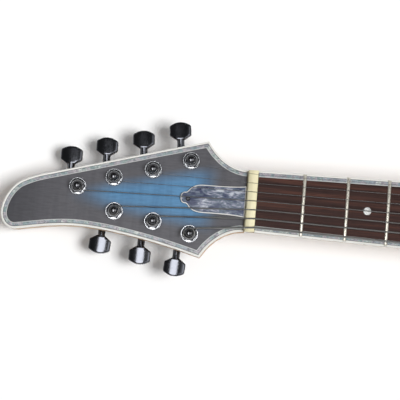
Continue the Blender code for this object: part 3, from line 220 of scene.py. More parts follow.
def pull_up(bm, bottom, top, rim=0.0, segments=2, both=False):
    """Pulls flat faces up from one height to another; the rims of their tops may be rounded."""
    bmesh.ops.translate(bm, verts=bm.verts, vec=(0, 0, bottom))
    pulled = bmesh.ops.extrude_face_region(bm, geom=bm.faces[:])
    risen = [item for item in pulled["geom"] if isinstance(item, bmesh.types.BMVert)]
    bmesh.ops.translate(bm, verts=risen, vec=(0, 0, top - bottom))
    bmesh.ops.recalc_face_normals(bm, faces=bm.faces)
    if rim:
        levels = (bottom, top) if both else (top,)
        flat = [e for e in bm.edges if any(all(abs(v.co.z - z) < 1e-7 for v in e.verts) for z in levels)]
        round_edges(bm, [e for e in flat if e.calc_face_angle(0.0) > 1.0], rim, segments)
    return bm


def plate(points, bottom, top, rim=0.0, segments=2, both=False):
    return pull_up(flat_face(points)[0], bottom, top, rim, segments, both)


print("plate helpers ready")

# %% [markdown]
# A profile is spun round the Z axis into a turned body. Loops are cut where a straight bar
# has to bend. `pour` adds one shape to another, so that frets or screws of the same kind
# make one piece.

# %% Turned bodies, bends and groups
def lathe(profile, sides):
    """A turned body from (radius, height) points; it closes on the axis or on itself."""
    bm = bmesh.new()
    verts = [bm.verts.new((radius, 0.0, height)) for radius, height in profile]
    edges = [bm.edges.new(pair) for pair in zip(verts, verts[1:])]
    if profile[0][0] > 0.0:
        edges.append(bm.edges.new((verts[-1], verts[0])))
    bmesh.ops.spin(
        bm, geom=verts + edges, cent=(0, 0, 0), axis=(0, 0, 1), angle=2 * math.pi, steps=sides,
        use_merge=True,
    )
    bmesh.ops.remove_doubles(bm, verts=bm.verts, dist=1e-6)
    return bm


def slices(bm, low, high, count, normal=(0, 1, 0)):
    """Cuts loops at even steps, so that a straight bar can be bent or crowned."""
    for step in range(1, count):
        place = Vector(normal) * (low + (high - low) * step / count)
        everything = bm.verts[:] + bm.edges[:] + bm.faces[:]
        bmesh.ops.bisect_plane(bm, geom=everything, dist=1e-7, plane_co=place, plane_no=normal)


def bend_to_board(bm):
    """Lets what lies within 4 mm of the playing surface fall away with its round."""
    for vert in bm.verts:
        if vert.co.z > SURFACE - 0.004:
            vert.co.z -= crown_drop(vert.co.y)
    return bm


def pour(target, source, matrix=None):
    """Adds a placed copy of one shape to another, as a separate solid in the same piece."""
    copy = bpy.data.meshes.new("copy")
    source.to_mesh(copy)
    if matrix:
        copy.transform(matrix)
    target.from_mesh(copy)
    bpy.data.meshes.remove(copy)
    return target


print("helpers for turning, bending and grouping ready")

# %% [markdown]
# A piece gets its mesh, its finish and the body that it moves with in one place. Round
# stretches are shaded smooth and edges sharper than the given angle stay crisp. A piece
# that is a finer version of a node of the frame stands for that node, which is hidden.


def linked(name, data):
    """A new object in the scene, at the origin."""
    thing = bpy.data.objects.new(name, data)
    bpy.context.collection.objects.link(thing)
    return thing


def mesh_from(bm, name):
    bmesh.ops.recalc_face_normals(bm, faces=bm.faces)
    mesh = bpy.data.meshes.new(name)
    bm.to_mesh(mesh)
    bm.free()
    return mesh


def add_piece(name, bm, finish, body="root", stands_for=(), angle=32):
    bmesh.ops.remove_doubles(bm, verts=bm.verts, dist=1e-7)
    mesh = mesh_from(bm, name)
    mesh.shade_smooth()
    mesh.set_sharp_from_angle(angle=math.radians(angle))
    return add_mesh(name, mesh, finish, body, stands_for)


def add_mesh(name, mesh, finish, body="root", stands_for=()):
    mesh.materials.clear()
    mesh.materials.append(finish)
    piece = linked(name, mesh)
    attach(piece, body)
    if stands_for:
        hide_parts(*stands_for)
    return piece


print("piece helpers ready")

# %% [markdown]
# Holes are cut with a boolean modifier, whose result is kept at once. Where the frame's
# own shape is right, a copy of it only needs softer edges, or just a better finish.

# %% Cuts and finer copies
def baked(thing):
    """The mesh of an object as its modifiers or its curve make it."""
    bpy.context.view_layer.update()
    seen = thing.evaluated_get(bpy.context.evaluated_depsgraph_get())
    return bpy.data.meshes.new_from_object(seen)


def cut(piece, bm):
    """Takes the cutter's volume out of the piece for good."""
    cutter = linked("cutter", mesh_from(bm, "cutter"))
    step = piece.modifiers.new("cut", "BOOLEAN")
    step.operation = "DIFFERENCE"
    step.solver = "EXACT"
    step.object = cutter
    result = baked(piece)
    piece.modifiers.clear()
    piece.data = result
    bpy.data.objects.remove(cutter, do_unlink=True)


def softened(node, name, finish, width, segments=2, sharp=30, body="root"):
    """A finer copy of a node: its triangles become whole faces, and its edges are rounded."""
    bm = bmesh.new()
    bm.from_mesh(frame["nodes"][node].data)
    bmesh.ops.remove_doubles(bm, verts=bm.verts, dist=1e-6)
    bmesh.ops.dissolve_limit(bm, angle_limit=math.radians(0.4), verts=bm.verts, edges=bm.edges)
    limit = math.radians(sharp)
    edges = [e for e in bm.edges if e.is_manifold and e.calc_face_angle() > limit]
    if width:
        round_edges(bm, edges, width, segments)
    return add_piece(name, bm, finish, body, (node,))


def paint(node, finish):
    """Gives a node of the frame a better finish and leaves its shape alone."""
    for holder in frame["nodes"][node].material_slots:
        holder.material = finish


print("helpers for cuts and copies ready")

# %% [markdown]
# Finishes are built from nodes. One helper adds a node with its settings and inputs, and
# another gives the place on the object, stretched or turned for a pattern.

# %% Finishes and their nodes
def new_finish(name, colour, roughness, metallic=0.0, gloss=0.5):
    finish = bpy.data.materials.new(name)
    finish.use_nodes = True
    shader = finish.node_tree.nodes["Principled BSDF"]
    shader.inputs["Base Color"].default_value = (*colour, 1.0)
    shader.inputs["Roughness"].default_value = roughness
    shader.inputs["Metallic"].default_value = metallic
    shader.inputs["Specular IOR Level"].default_value = gloss
    return finish


def add_node(holder, kind, inputs, **settings):
    """One node; each input is a plain value or the output of another node."""
    node = holder.node_tree.nodes.new("ShaderNode" + kind)
    for label, value in settings.items():
        setattr(node, label, value)
    for socket, value in inputs:
        if isinstance(value, bpy.types.NodeSocket):
            holder.node_tree.links.new(value, node.inputs[socket])
        else:
            node.inputs[socket].default_value = value
    return node


def feed(finish, socket, value):
    shader = finish.node_tree.nodes["Principled BSDF"]
    finish.node_tree.links.new(value, shader.inputs[socket])


def spot(finish, scale=(1.0, 1.0, 1.0), turn=0.0, move=(0.0, 0.0, 0.0)):
    """Object coordinates, stretched and turned for a pattern."""
    place = add_node(finish, "TexCoord", []).outputs["Object"]
    settings = [("Vector", place), ("Location", move), ("Rotation", (0.0, 0.0, turn)), ("Scale", scale)]
    return add_node(finish, "Mapping", settings).outputs["Vector"]


print("node helpers ready")

# %% [markdown]
# The patterns that are used most get names: noise for grain and clouds, a ramp for colours,
# a mix, a smooth step for soft limits, and a bump from the height of a pattern.

# %% Patterns
def noise(finish, where, scale=1.0, detail=2.0, distortion=0.0):
    settings = [("Vector", where), ("Scale", scale), ("Detail", detail), ("Distortion", distortion)]
    return add_node(finish, "TexNoise", settings).outputs[0]


def ramp(finish, factor, stops):
    node = add_node(finish, "ValToRGB", [("Fac", factor)])
    points = node.color_ramp.elements
    while len(points) < len(stops):
        points.new(0.5)
    for point, (place, colour) in zip(points, stops):
        point.position = place
        point.color = (*colour, 1.0)
    return node.outputs["Color"]


def mix(finish, factor, first, second, way="MIX"):
    settings = [(0, factor), (6, first), (7, second)]
    return add_node(finish, "Mix", settings, data_type="RGBA", blend_type=way).outputs[2]


def maths(finish, operation, first, second=0.5):
    return add_node(finish, "Math", [(0, first), (1, second)], operation=operation).outputs[0]


def smooth_step(finish, value, low, high):
    settings = [("Value", value), ("From Min", low), ("From Max", high)]
    return add_node(finish, "MapRange", settings, interpolation_type="SMOOTHSTEP").outputs[0]


def bump(finish, height, strength, distance):
    settings = [("Strength", strength), ("Distance", distance), ("Height", height)]
    feed(finish, "Normal", add_node(finish, "Bump", settings).outputs["Normal"])


print("pattern helpers ready")

# %% [markdown]
# The headstock wears the same see-through lacquer as the top: blue in the middle, smoke
# grey towards the edges, over faintly flamed wood. The blue field is a wedge. Each of
# its four sides is a line given by two points on the face, and the colour fades over a
# few millimetres on both sides of it.

# %% Lacquer of the headstock
BLUE_MIDDLE = (0.072, -0.003)
BLUE_SIDES = (
    ((0.0950, 0.0060), (0.0443, 0.0176), 0.0070),
    ((0.0935, -0.0125), (0.0413, -0.0205), 0.0085),
    ((0.1210, 0.0100), (0.1210, -0.0200), 0.0230),
    ((0.0310, 0.0200), (0.0310, -0.0200), 0.0125),
)
# Beyond this line towards the tip the smoke colour is darker: painted shade, for the weaker sheen there.
PAINTED_TIP_SHADE = ((0.1650, 0.0100), (0.1650, -0.0200), 0.0300)


def face_point(u, v, height=0.0):
    """A point of the headstock's face: u from the nut to the tip, v to the treble side."""
    return head_plane @ Vector((-u, v, height))


def inside_line(finish, where, line):
    """1 on the middle's side of a line across the face, 0 beyond it, with a soft change."""
    start = face_point(*line[0]).to_2d()
    run = face_point(*line[1]).to_2d() - start
    normal = Vector((-run.y, run.x)).normalized()
    if normal.dot(face_point(*BLUE_MIDDLE).to_2d() - start) < 0:
        normal = -normal
    inputs = [(0, where), (1, (normal.x, normal.y, 0.0))]
    reach = add_node(finish, "VectorMath", inputs, operation="DOT_PRODUCT").outputs["Value"]
    level = normal.dot(start)
    return smooth_step(finish, reach, level - line[2], level + line[2])


def headstock_lacquer():
    finish = new_finish("blue_burst_headstock", (0.08, 0.08, 0.09), 0.3, gloss=0.12)
    where = spot(finish)
    field = inside_line(finish, where, BLUE_SIDES[0])
    for line in BLUE_SIDES[1:]:
        field = maths(finish, "MULTIPLY", field, inside_line(finish, where, line))
    flame = noise(finish, spot(finish, (165.0, 16.0, 16.0), 0.12), 1.0, 2.0, 0.6)
    fibre = noise(finish, spot(finish, (60.0, 900.0, 900.0)), 1.0, 3.0)
    blue = ramp(finish, flame, ((0.3, (0.078, 0.205, 0.372)), (0.7, (0.106, 0.270, 0.468))))
    smoke = ramp(finish, flame, ((0.3, (0.094, 0.093, 0.104)), (0.7, (0.112, 0.110, 0.122))))
    # painted shade: the smoke near the tip is darker, for the weaker sheen there
    tip = ramp(finish, flame, ((0.3, (0.058, 0.058, 0.066)), (0.7, (0.070, 0.070, 0.078))))
    smoke = mix(finish, inside_line(finish, where, PAINTED_TIP_SHADE), tip, smoke)
    colour = mix(finish, field, smoke, blue)
    shade = ramp(finish, fibre, ((0.35, (0.90, 0.90, 0.90)), (0.6, (1.04, 1.04, 1.04))))
    feed(finish, "Base Color", mix(finish, 1.0, colour, shade, "MULTIPLY"))
    bump(finish, fibre, 0.06, 0.0002)
    return finish


headstock_blue = headstock_lacquer()
paint("headstock_veneer", headstock_blue)
print("headstock lacquer:", len(headstock_blue.node_tree.nodes), "nodes")

# %% [markdown]
# On the body the burst follows the outline roughly, so a soft oval does for its field.
# The flamed cap is bookmatched: two leaves of one board are opened like a book, so the
# stripes mirror at the centre line. Taking the size of Y without its sign does that.

# %% Lacquer of the body
BURST_CENTRE = (-0.060, 0.0)
BURST_REACH = (0.205, 0.150)


def body_lacquer():
    finish = new_finish("blue_burst_body", (0.06, 0.2, 0.4), 0.28)
    parts = add_node(finish, "SeparateXYZ", [("Vector", spot(finish))]).outputs
    mirrored = maths(finish, "ABSOLUTE", parts[1])
    book = add_node(finish, "CombineXYZ", [(0, parts[0]), (1, mirrored), (2, 0.0)]).outputs[0]
    settings = [("Vector", book), ("Rotation", (0, 0, 0.2)), ("Scale", (120, 11, 1))]
    lean = add_node(finish, "Mapping", settings)
    flame = noise(finish, lean.outputs[0], 1.0, 3.0, 0.8)
    fine = noise(finish, lean.outputs[0], 3.1, 2.0, 0.4)
    figure = mix(finish, 0.3, flame, fine)
    scale = (1 / BURST_REACH[0], 1 / BURST_REACH[1], 0.0)
    move = (-BURST_CENTRE[0] / BURST_REACH[0], 0.0, 0.0)
    oval = add_node(finish, "VectorMath", [(0, spot(finish, scale, 0.0, move))], operation="LENGTH")
    field = smooth_step(finish, oval.outputs["Value"], 1.05, 0.35)
    blue = ramp(finish, figure, ((0.32, (0.020, 0.110, 0.250)), (0.68, (0.090, 0.330, 0.600))))
    edge = ramp(finish, figure, ((0.32, (0.008, 0.012, 0.022)), (0.68, (0.022, 0.034, 0.055))))
    feed(finish, "Base Color", mix(finish, field, edge, blue))
    return finish


body_blue = body_lacquer()
print("body lacquer:", len(body_blue.node_tree.nodes), "nodes")

# %% [markdown]
# Shell comes in small pieces, each cut from another place of the shell, so neighbours
# differ in hue. A cell pattern picks the hue of each piece, and wavy noise inside it
# makes the layers shimmer. The cover of the truss rod is one sheet with larger clouds.

# %% Shell and pearl
def shell_finish(name, size, hues, wave):
    finish = new_finish(name, (0.5, 0.55, 0.6), 0.25, gloss=0.2)
    cells = add_node(finish, "TexVoronoi", [("Vector", spot(finish)), ("Scale", 1 / size)])
    pick = add_node(finish, "SeparateColor", [("Color", cells.outputs["Color"])]).outputs[0]
    layers = noise(finish, spot(finish, (1.0, 1.3, 1.0), 0.6), wave, 3.0, 1.5)
    picked = maths(finish, "MULTIPLY", pick, 0.7)
    factor = maths(finish, "ADD", picked, maths(finish, "MULTIPLY", layers, 0.32))
    step = 1 / (len(hues) - 1)
    colour = ramp(finish, factor, [(index * step, hue) for index, hue in enumerate(hues)])
    sheen = ramp(finish, layers, ((0.38, (0.72, 0.74, 0.76)), (0.62, (1.25, 1.25, 1.28))))
    feed(finish, "Base Color", mix(finish, 1.0, colour, sheen, "MULTIPLY"))
    bump(finish, layers, 0.05, 0.0002)
    return finish


LINE_HUES = (
    (0.10, 0.12, 0.12), (0.27, 0.28, 0.30), (0.42, 0.38, 0.40), (0.30, 0.34, 0.37),
    (0.24, 0.31, 0.30), (0.44, 0.47, 0.44), (0.70, 0.71, 0.70),
)
DOT_HUES = (
    (0.50, 0.52, 0.52), (0.66, 0.66, 0.64), (0.74, 0.74, 0.70), (0.62, 0.68, 0.68), (0.80, 0.79, 0.76),
)


def sheet_pearl():
    """One sheet of dark pearl: long violet clouds with paler streaks lying over them."""
    finish = new_finish("cover_pearl", (0.15, 0.18, 0.26), 0.3, gloss=0.12)
    clouds = noise(finish, spot(finish, (85.0, 190.0, 85.0), 0.35), 1.0, 6.0, 1.1)
    streaks = noise(finish, spot(finish, (220.0, 620.0, 220.0), -0.35), 1.0, 4.0, 1.0)
    shade = mix(finish, 0.42, clouds, streaks)
    hues = (
        (0.36, (0.040, 0.046, 0.090)), (0.45, (0.095, 0.110, 0.180)), (0.50, (0.130, 0.170, 0.210)),
        (0.55, (0.230, 0.240, 0.330)), (0.64, (0.600, 0.640, 0.690)),
    )
    feed(finish, "Base Color", ramp(finish, shade, hues))
    bump(finish, streaks, 0.05, 0.0002)
    return finish


line_shell = shell_finish("line_shell", 0.0034, LINE_HUES, 520.0)
cover_pearl = sheet_pearl()
dot_pearl = shell_finish("dot_pearl", 0.0100, DOT_HUES, 260.0)
print("shell finishes:", line_shell.name, cover_pearl.name, dot_pearl.name)

# %% [markdown]
# Wood is noise stretched along the grain. Two sizes of it give broad streaks and fine
# fibres, and a third, much longer than wide, gives the open pores of rosewood.

# %% Woods
def wood_finish(name, colours, streak, fibre, roughness, pore=0.0, gloss=0.3):
    finish = new_finish(name, colours[1], roughness, gloss=gloss)
    broad = noise(finish, spot(finish, (5.0, streak, streak)), 1.0, 4.0, 0.5)
    fine = noise(finish, spot(finish, (26.0, fibre, fibre)), 1.0, 2.0)
    grain = mix(finish, 0.35, broad, fine)
    colour = ramp(finish, grain, ((0.34, colours[0]), (0.5, colours[1]), (0.66, colours[2])))
    if pore:
        dashes = noise(finish, spot(finish, (110.0, fibre * 2.2, fibre * 2.2)), 1.0, 1.0)
        holes = smooth_step(finish, dashes, 0.62, 0.70)
        colour = mix(finish, maths(finish, "MULTIPLY", holes, pore), colour, (*colours[3], 1.0))
    feed(finish, "Base Color", colour)
    bump(finish, fine, 0.12, 0.0002)
    return finish


ROSEWOOD = ((0.022, 0.012, 0.011), (0.043, 0.023, 0.020), (0.092, 0.040, 0.030), (0.012, 0.007, 0.007))
NECK_WOOD = ((0.43, 0.27, 0.15), (0.54, 0.365, 0.22), (0.62, 0.44, 0.285))
BACK_WOOD = ((0.12, 0.04, 0.02), (0.185, 0.07, 0.034), (0.25, 0.105, 0.052), (0.06, 0.02, 0.01))
rosewood = wood_finish("rosewood_board", ROSEWOOD, 260.0, 1500.0, 0.5, 0.7, 0.12)
neck_wood = wood_finish("neck_mahogany", NECK_WOOD, 120.0, 900.0, 0.42)
back_wood = wood_finish("body_mahogany", BACK_WOOD, 90.0, 800.0, 0.4, 0.5)
print("woods:", rosewood.name, neck_wood.name, back_wood.name)

# %% [markdown]
# Metal shows what is round it, so its colour matters less than its roughness. Keys, posts
# and bridge are plated dark, and washers and collars are bright nickel. Handling wears the
# gloss unevenly, so the roughness of each finish drifts between two values in patches.
# Each line gives name, colour, metal or not, patch scale, and the two roughnesses.

# %% Metals and plastics
def worn(name, colour, metallic, scale, low, high):
    """A plain finish whose roughness drifts between two values."""
    finish = new_finish(name, colour, low, metallic)
    patches = noise(finish, spot(finish), scale, 4.0)
    inputs = [("Value", patches), ("From Min", 0.3), ("From Max", 0.7), ("To Min", low), ("To Max", high)]
    feed(finish, "Roughness", add_node(finish, "MapRange", inputs).outputs[0])
    return finish


dark_plate = worn("black_nickel", (0.17, 0.17, 0.185), 1.0, 300.0, 0.16, 0.26)
key_plate = worn("key_nickel", (0.082, 0.085, 0.096), 1.0, 300.0, 0.11, 0.15)
bright_plate = worn("bright_nickel", (0.40, 0.41, 0.43), 1.0, 400.0, 0.18, 0.26)
post_plate = worn("post_nickel", (0.085, 0.086, 0.092), 1.0, 300.0, 0.12, 0.18)
fret_metal = worn("fret_nickel_silver", (0.60, 0.57, 0.50), 1.0, 500.0, 0.24, 0.34)
steel = worn("bare_steel", (0.60, 0.60, 0.61), 1.0, 400.0, 0.25, 0.4)
black_screw = worn("black_screw", (0.05, 0.05, 0.055), 1.0, 600.0, 0.25, 0.4)
plain_wire = worn("plain_wire", (0.44, 0.44, 0.44), 1.0, 500.0, 0.16, 0.24)
black_plastic = worn("moulded_black", (0.018, 0.018, 0.019), 0.0, 120.0, 0.3, 0.45)
white_plastic = worn("white_strip", (0.80, 0.79, 0.75), 0.0, 200.0, 0.25, 0.4)
grey_strip = worn("grey_strip", (0.52, 0.53, 0.52), 0.0, 200.0, 0.3, 0.45)
dark_filler = worn("dark_filler", (0.03, 0.03, 0.032), 0.0, 200.0, 0.45, 0.6)

# %% [markdown]
# Bone is clouded like old ivory. A wound string is a core with a fine wrapping round it:
# a wave along the string bumps the surface, which the eye reads as a dull, soft gloss.

# %% Bone and wound strings
def bone_finish():
    finish = new_finish("cut_bone", (0.80, 0.75, 0.50), 0.38)
    clouds = noise(finish, spot(finish, (120.0, 40.0, 120.0)), 1.0, 4.0)
    ivory = ramp(finish, clouds, ((0.3, (0.78, 0.70, 0.43)), (0.7, (0.90, 0.84, 0.58))))
    feed(finish, "Base Color", ivory)
    return finish


def wound_finish():
    finish = new_finish("wound_wire", (0.30, 0.298, 0.292), 0.28, 1.0)
    inputs = [("Vector", spot(finish)), ("Scale", 700.0)]
    rings = add_node(finish, "TexWave", inputs, bands_direction="X").outputs[1]
    bump(finish, rings, 0.4, 0.00005)
    return finish


bone = bone_finish()
wound_wire = wound_finish()

# %% [markdown]
# The trim of the headstock is laid in rings from the edge inwards: white binding, a dark
# line of filler, shell, and a thin white line. Insetting one face of the outline again
# and again gives rings that fit each other exactly, as a luthier's routed channels do.
# The outline runs on past the nut, and each ring is cut off square there. Each line of
# the table gives name, width, levels with any rounding, finish and the node it stands for.

# %% Headstock outline and trim
HEAD_RUNS = (
    ((0.0120, -0.0238), (0.0250, -0.0320), (0.0331, -0.0465), 14),
    ((0.0600, -0.0386), (0.0970, -0.0305), (0.1272, -0.0291), 14),
    ((0.1470, -0.0286), (0.1630, -0.0326), (0.1765, -0.0347), 10),
    ((0.1835, -0.0364), (0.1898, -0.0310), (0.1898, -0.0225), 12),
    ((0.1898, -0.0120), (0.1820, 0.0006), (0.1733, 0.0039), 12),
    ((0.1660, 0.0078), (0.1580, 0.0097), (0.1500, 0.0119), 8),
    ((0.0322, 0.0444),),
    ((0.0235, 0.0310), (0.0120, 0.0238), (0.0, 0.0238), 14),
)
HEAD_START = (0.0, -0.0238)
TRIM_START = 0.0006
PAST_NUT = 0.020
VENEER = 0.0015
PROUD = 0.00002
TRIM = (
    ("headstock_edge", 0.0015, (-0.005, 0.0, 0.0003), white_plastic, ("headstock_binding",)),
    ("headstock_filler", 0.0003, (-VENEER, -0.00012), dark_filler, ()),
    ("headstock_shell_line", 0.0023, (-VENEER, PROUD), line_shell, ("headstock_purfling",)),
    ("headstock_white_line", 0.00045, (-VENEER, PROUD), grey_strip, ()),
)


def head_ring(widths):
    """Insets the outline by one width after another and keeps the last ring of faces."""
    edge = [(-u, v) for u, v in curve_path(HEAD_START, HEAD_RUNS)]
    bm, face = flat_face([(PAST_NUT, edge[0][1])] + edge + [(PAST_NUT, edge[-1][1])])
    for width in widths:
        bmesh.ops.delete(bm, geom=[other for other in bm.faces if other != face], context="FACES")
        inset(bm, face, width)
    bmesh.ops.delete(bm, geom=[face], context="FACES")
    bmesh.ops.bisect_plane(
        bm, geom=bm.verts[:] + bm.edges[:] + bm.faces[:], dist=1e-7, plane_co=(-TRIM_START, 0, 0),
        plane_no=(1, 0, 0), clear_outer=True,
    )
    return bm


trim_widths = [line[1] for line in TRIM]
for kept, (name, width, levels, finish, stands_for) in enumerate(TRIM):
    strip = pull_up(head_ring(trim_widths[:kept + 1]), *levels)
    add_piece(name, placed(strip, head_plane), finish, stands_for=stands_for)
print("headstock trim:", len(TRIM), "rings,", round(1000 * sum(trim_widths), 2), "mm wide together")

# %% [markdown]
# Screws of one kind are made as one piece. A head is a turned dome, and a cross-shaped
# plate cuts the recess into it. The shank is out of sight and left out.

# %% Screws with a cross recess
SCREW_SINK = 0.0006


def cross_screw(head, rise):
    """Dome of a raised countersunk head, with the rim of the dome at height 0."""
    profile = [(0.0, -SCREW_SINK), (head / 2, -SCREW_SINK)] + quarter_round(head / 2, 0.0, rise, 6)
    return lathe(profile, 28)


def cross_recess(head, rise, depth):
    """Cutter for the recess: a cross whose outline turns by a quarter four times."""
    arm = head * 0.31
    width = head * 0.085
    points = []
    for quarter in range(4):
        turn = Matrix.Rotation(math.pi / 2 * quarter, 2)
        corners = ((arm, -width), (arm, width), (width, width))
        points += [tuple(turn @ Vector(corner)) for corner in corners]
    return plate(points, rise - depth, rise + 0.001)


def screw_group(name, places, head, rise, share=0.8):
    """Screws of one kind as one piece, each with a recess through a share of its dome."""
    heads = bmesh.new()
    recesses = bmesh.new()
    for place in places:
        pour(heads, cross_screw(head, rise), place)
        pour(recesses, cross_recess(head, rise, rise * share), place)
    cut(add_piece(name, heads, black_screw), recesses)


print("screw helpers ready")

# %% [markdown]
# A bell-shaped cover hides the nut of the truss rod. It is a white plate with a sheet of
# pearl on it that leaves a thin white border, held by one small black screw.

# %% Cover of the truss rod
COVER_CENTRE = -0.001
COVER_TIP = 0.051
COVER_TOP = FIT_GAP + 0.0016
COVER_BORDER = 0.0007
PEARL_SHEET = 0.0004
COVER_RUNS = (
    ((0.0080, 0.0110), (0.0200, 0.0108), (0.0320, 0.0110), 10),
    ((0.0380, 0.0112), (0.0415, 0.0098), (0.0440, 0.0072), 8),
    ((0.0452, 0.0056), (0.0460, 0.0046), (0.0470, 0.0045), 4),
    ((0.0495, 0.0047), (COVER_TIP, 0.0028), (COVER_TIP, 0.0), 8),
)


def cover_shape(bottom, top, border, rim):
    half = curve_path((FIT_GAP, 0.0122), COVER_RUNS)
    bm, face = flat_face([(-u, v) for u, v in half] + [(-u, -v) for u, v in half[-2::-1]])
    if border:
        bmesh.ops.delete(bm, geom=inset(bm, face, border), context="FACES")
    return placed(pull_up(bm, bottom, top, rim), head_plane @ at(0, COVER_CENTRE, 0))


white_sheet = cover_shape(FIT_GAP, COVER_TOP - PEARL_SHEET / 2, 0.0, 0.0003)
add_piece("rod_cover_plate", white_sheet, white_plastic, stands_for=("truss_rod_cover",))
pearl_sheet = cover_shape(COVER_TOP - PEARL_SHEET, COVER_TOP, COVER_BORDER, 0.0001)
add_piece("rod_cover_pearl", pearl_sheet, cover_pearl)
screw_place = head_plane @ at(-0.0450, -0.0018, COVER_TOP)
screw_group("rod_cover_screw", [screw_place], 0.0036, 0.0008, 0.75)
print("cover tip at", [round(c, 4) for c in face_point(COVER_TIP, COVER_CENTRE)])

# %% [markdown]
# The nut is a bar of bone between board and headstock. Its top follows the round of the
# board, is flat at the front, where the strings bear, and falls away at the back. Each
# string lies in a slot with a round floor, cut along the string's own slope.

# %% Nut
NUT_RISE = 0.0024
NUT_ACTION = 0.0019
NUT_STATIONS = 30


def bearing(number, x, spread, action):
    """Centre of a string where it bears on the nut or on its saddle."""
    y = string_side(number, spread)
    return Vector((x, y, SURFACE - crown_drop(y) + action + STRING_DIAMETERS[number] / 2))


def nut_string(number):
    return bearing(number, nut_front, NUT_SPREAD, NUT_ACTION)


def nut_blank():
    front = nut_front - FIT_GAP
    low = SURFACE - BOARD_THICKNESS
    crest = SURFACE + NUT_RISE
    profile = (
        (front, low), (front, crest - 0.0005), (front - 0.0002, crest - 0.00015),
        (front - 0.0006, crest), (front - 0.0036, crest - 0.0001), (front - 0.0046, crest - 0.0004),
        (nut_back + 0.0012, crest - 0.0012), (nut_back + 0.0004, crest - 0.0017),
        (nut_back, crest - 0.0025), (nut_back, low),
    )
    half = nut_high.y
    bm = placed(plate(profile, -half, half), ON_SIDE)
    slices(bm, -half, half, NUT_STATIONS)
    bend_to_board(bm)
    ends = [e for e in bm.edges if all(abs(abs(v.co.y) - half) < 1e-6 for v in e.verts)]
    round_edges(bm, ends, 0.0003, 2)
    return bm


print("string 1 bears on the nut at", [round(c, 4) for c in nut_string(0)])

# %% [markdown]
# The frame's joints know the place and the axis of every post and key. One matrix for each
# tuner is built from them, and everything that belongs to that tuner is placed by it.

# %% Places of the tuners
all_joints = {joint["name"]: joint for joint in frame["joints"]}


def tuner_matrix(number):
    """Frame of one tuner: Z along its post, Y along its key, at the headstock's face."""
    post = all_joints[f"tuner_{number}_post_turn"]
    up = Vector(post["axis"]).normalized()
    out = Vector(all_joints[f"tuner_{number}_key_turn"]["axis"]).normalized()
    return axes_at(Vector(post["pos_m"]), out.cross(up), out, up)


def tuner_side(number):
    return 1 if tuner_matrix(number).col[1].y > 0 else -1


print("first post at", [round(c, 4) for c in tuner_matrix(1).translation])

# %% [markdown]
# The line of a string from the nut meets its post as a tangent, and the turns climb the
# post as a helix. The end stands off a little, as cut string ends do. All of it is worked
# out on the flat face of the headstock, and then tilted with it.

# %% Turns on the posts
POST_RADIUS = 0.003
TURN_STEPS = 40
TURN_SPACE = 0.00045
BUSHING_TOP = 0.0038
TAIL_LENGTH = 0.0028


def post_place(number):
    """Post of a string on the headstock's face: towards the tip, towards the treble side."""
    local = head_plane.inverted() @ tuner_matrix(number + 1).translation
    return local.x, local.y


def turns(number):
    """Points on the post, from where the string meets it to its cut end."""
    radius = STRING_DIAMETERS[number] / 2
    wrap = POST_RADIUS + 0.0001 + radius
    x, y = post_place(number)
    start = head_plane.inverted() @ nut_string(number)
    turn = -tuner_side(number + 1)
    reach = math.hypot(start.x - x, start.y - y)
    first = math.atan2(start.y - y, start.x - x) + turn * math.acos(wrap / reach)
    low = BUSHING_TOP + 2 * FIT_GAP + radius
    pitch = 2 * radius + TURN_SPACE
    count = round(STRING_TURNS[number] * TURN_STEPS)
    points = []
    for step in range(count + 1):
        angle = first + turn * 2 * math.pi * step / TURN_STEPS
        height = low + pitch * step / TURN_STEPS
        points.append(Vector((x + wrap * math.cos(angle), y + wrap * math.sin(angle), height)))
    away = (points[-1] - points[-2]).normalized()
    outward = Vector((points[-1].x - x, points[-1].y - y, 0.0)).normalized()
    for share in (0.35, 0.7, 1.0):
        points.append(points[count] + TAIL_LENGTH * share * (away + outward * 0.5 * share))
    return [head_plane @ point for point in points]


print("points on post 1:", len(turns(0)))

# %% [markdown]
# Each string runs from its ball end behind the bridge over saddle and nut to its post. The
# route becomes a curve with a round section, and the curve a mesh. The slots of the nut
# are cut last, each along its own string, so that string and slot agree.

# %% Strings and the slots of the nut
SADDLE_ACTION = FIT_GAP + 0.0040
SADDLE_FLAT = Vector((0.0008, 0, 0))
BRIDGE_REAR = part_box("bridge")[1].x
PLATE_TOP = BODY_TOP + FIT_GAP + 0.003
BALL_LEVEL = PLATE_TOP + 0.0045


def add_string(number):
    radius = STRING_DIAMETERS[number] / 2
    saddle = bearing(number, 0.0, SADDLE_SPREAD, SADDLE_ACTION)
    route = [
        Vector((BRIDGE_REAR + 0.0009, saddle.y, BALL_LEVEL)),
        Vector((BRIDGE_REAR - 0.004, saddle.y, BALL_LEVEL)),
        saddle + SADDLE_FLAT,
        saddle - SADDLE_FLAT,
        nut_string(number),
    ] + turns(number)
    curve = bpy.data.curves.new(f"string_{number + 1}_wire", "CURVE")
    curve.dimensions = "3D"
    curve.bevel_depth = radius
    curve.bevel_resolution = 3
    curve.use_fill_caps = True
    spline = curve.splines.new("POLY")
    spline.points.add(len(route) - 1)
    for target, point in zip(spline.points, route):
        target.co = (*point, 1.0)
    helper = linked("wire", curve)
    mesh = baked(helper)
    bpy.data.objects.remove(helper, do_unlink=True)
    finish = plain_wire if number < PLAIN_STRINGS else wound_wire
    return add_mesh(f"string_wire_{number + 1}", mesh, finish, "root", (f"string_{number + 1}",))


def slot_cutter(number):
    """A bar with a round floor that lies along a string, from the nut towards its post."""
    here = nut_string(number)
    half = STRING_DIAMETERS[number] / 2 + 0.00008
    circle = ring(half, 20)
    bar = plate(circle[10:] + circle[:1] + [(half, 0.004), (-half, 0.004)], -0.004, 0.012)
    back = (turns(number)[0] - here).normalized()
    up = Vector((0, 1, 0)).cross(back).normalized()
    return placed(bar, axes_at(here, up.cross(back), up, back))


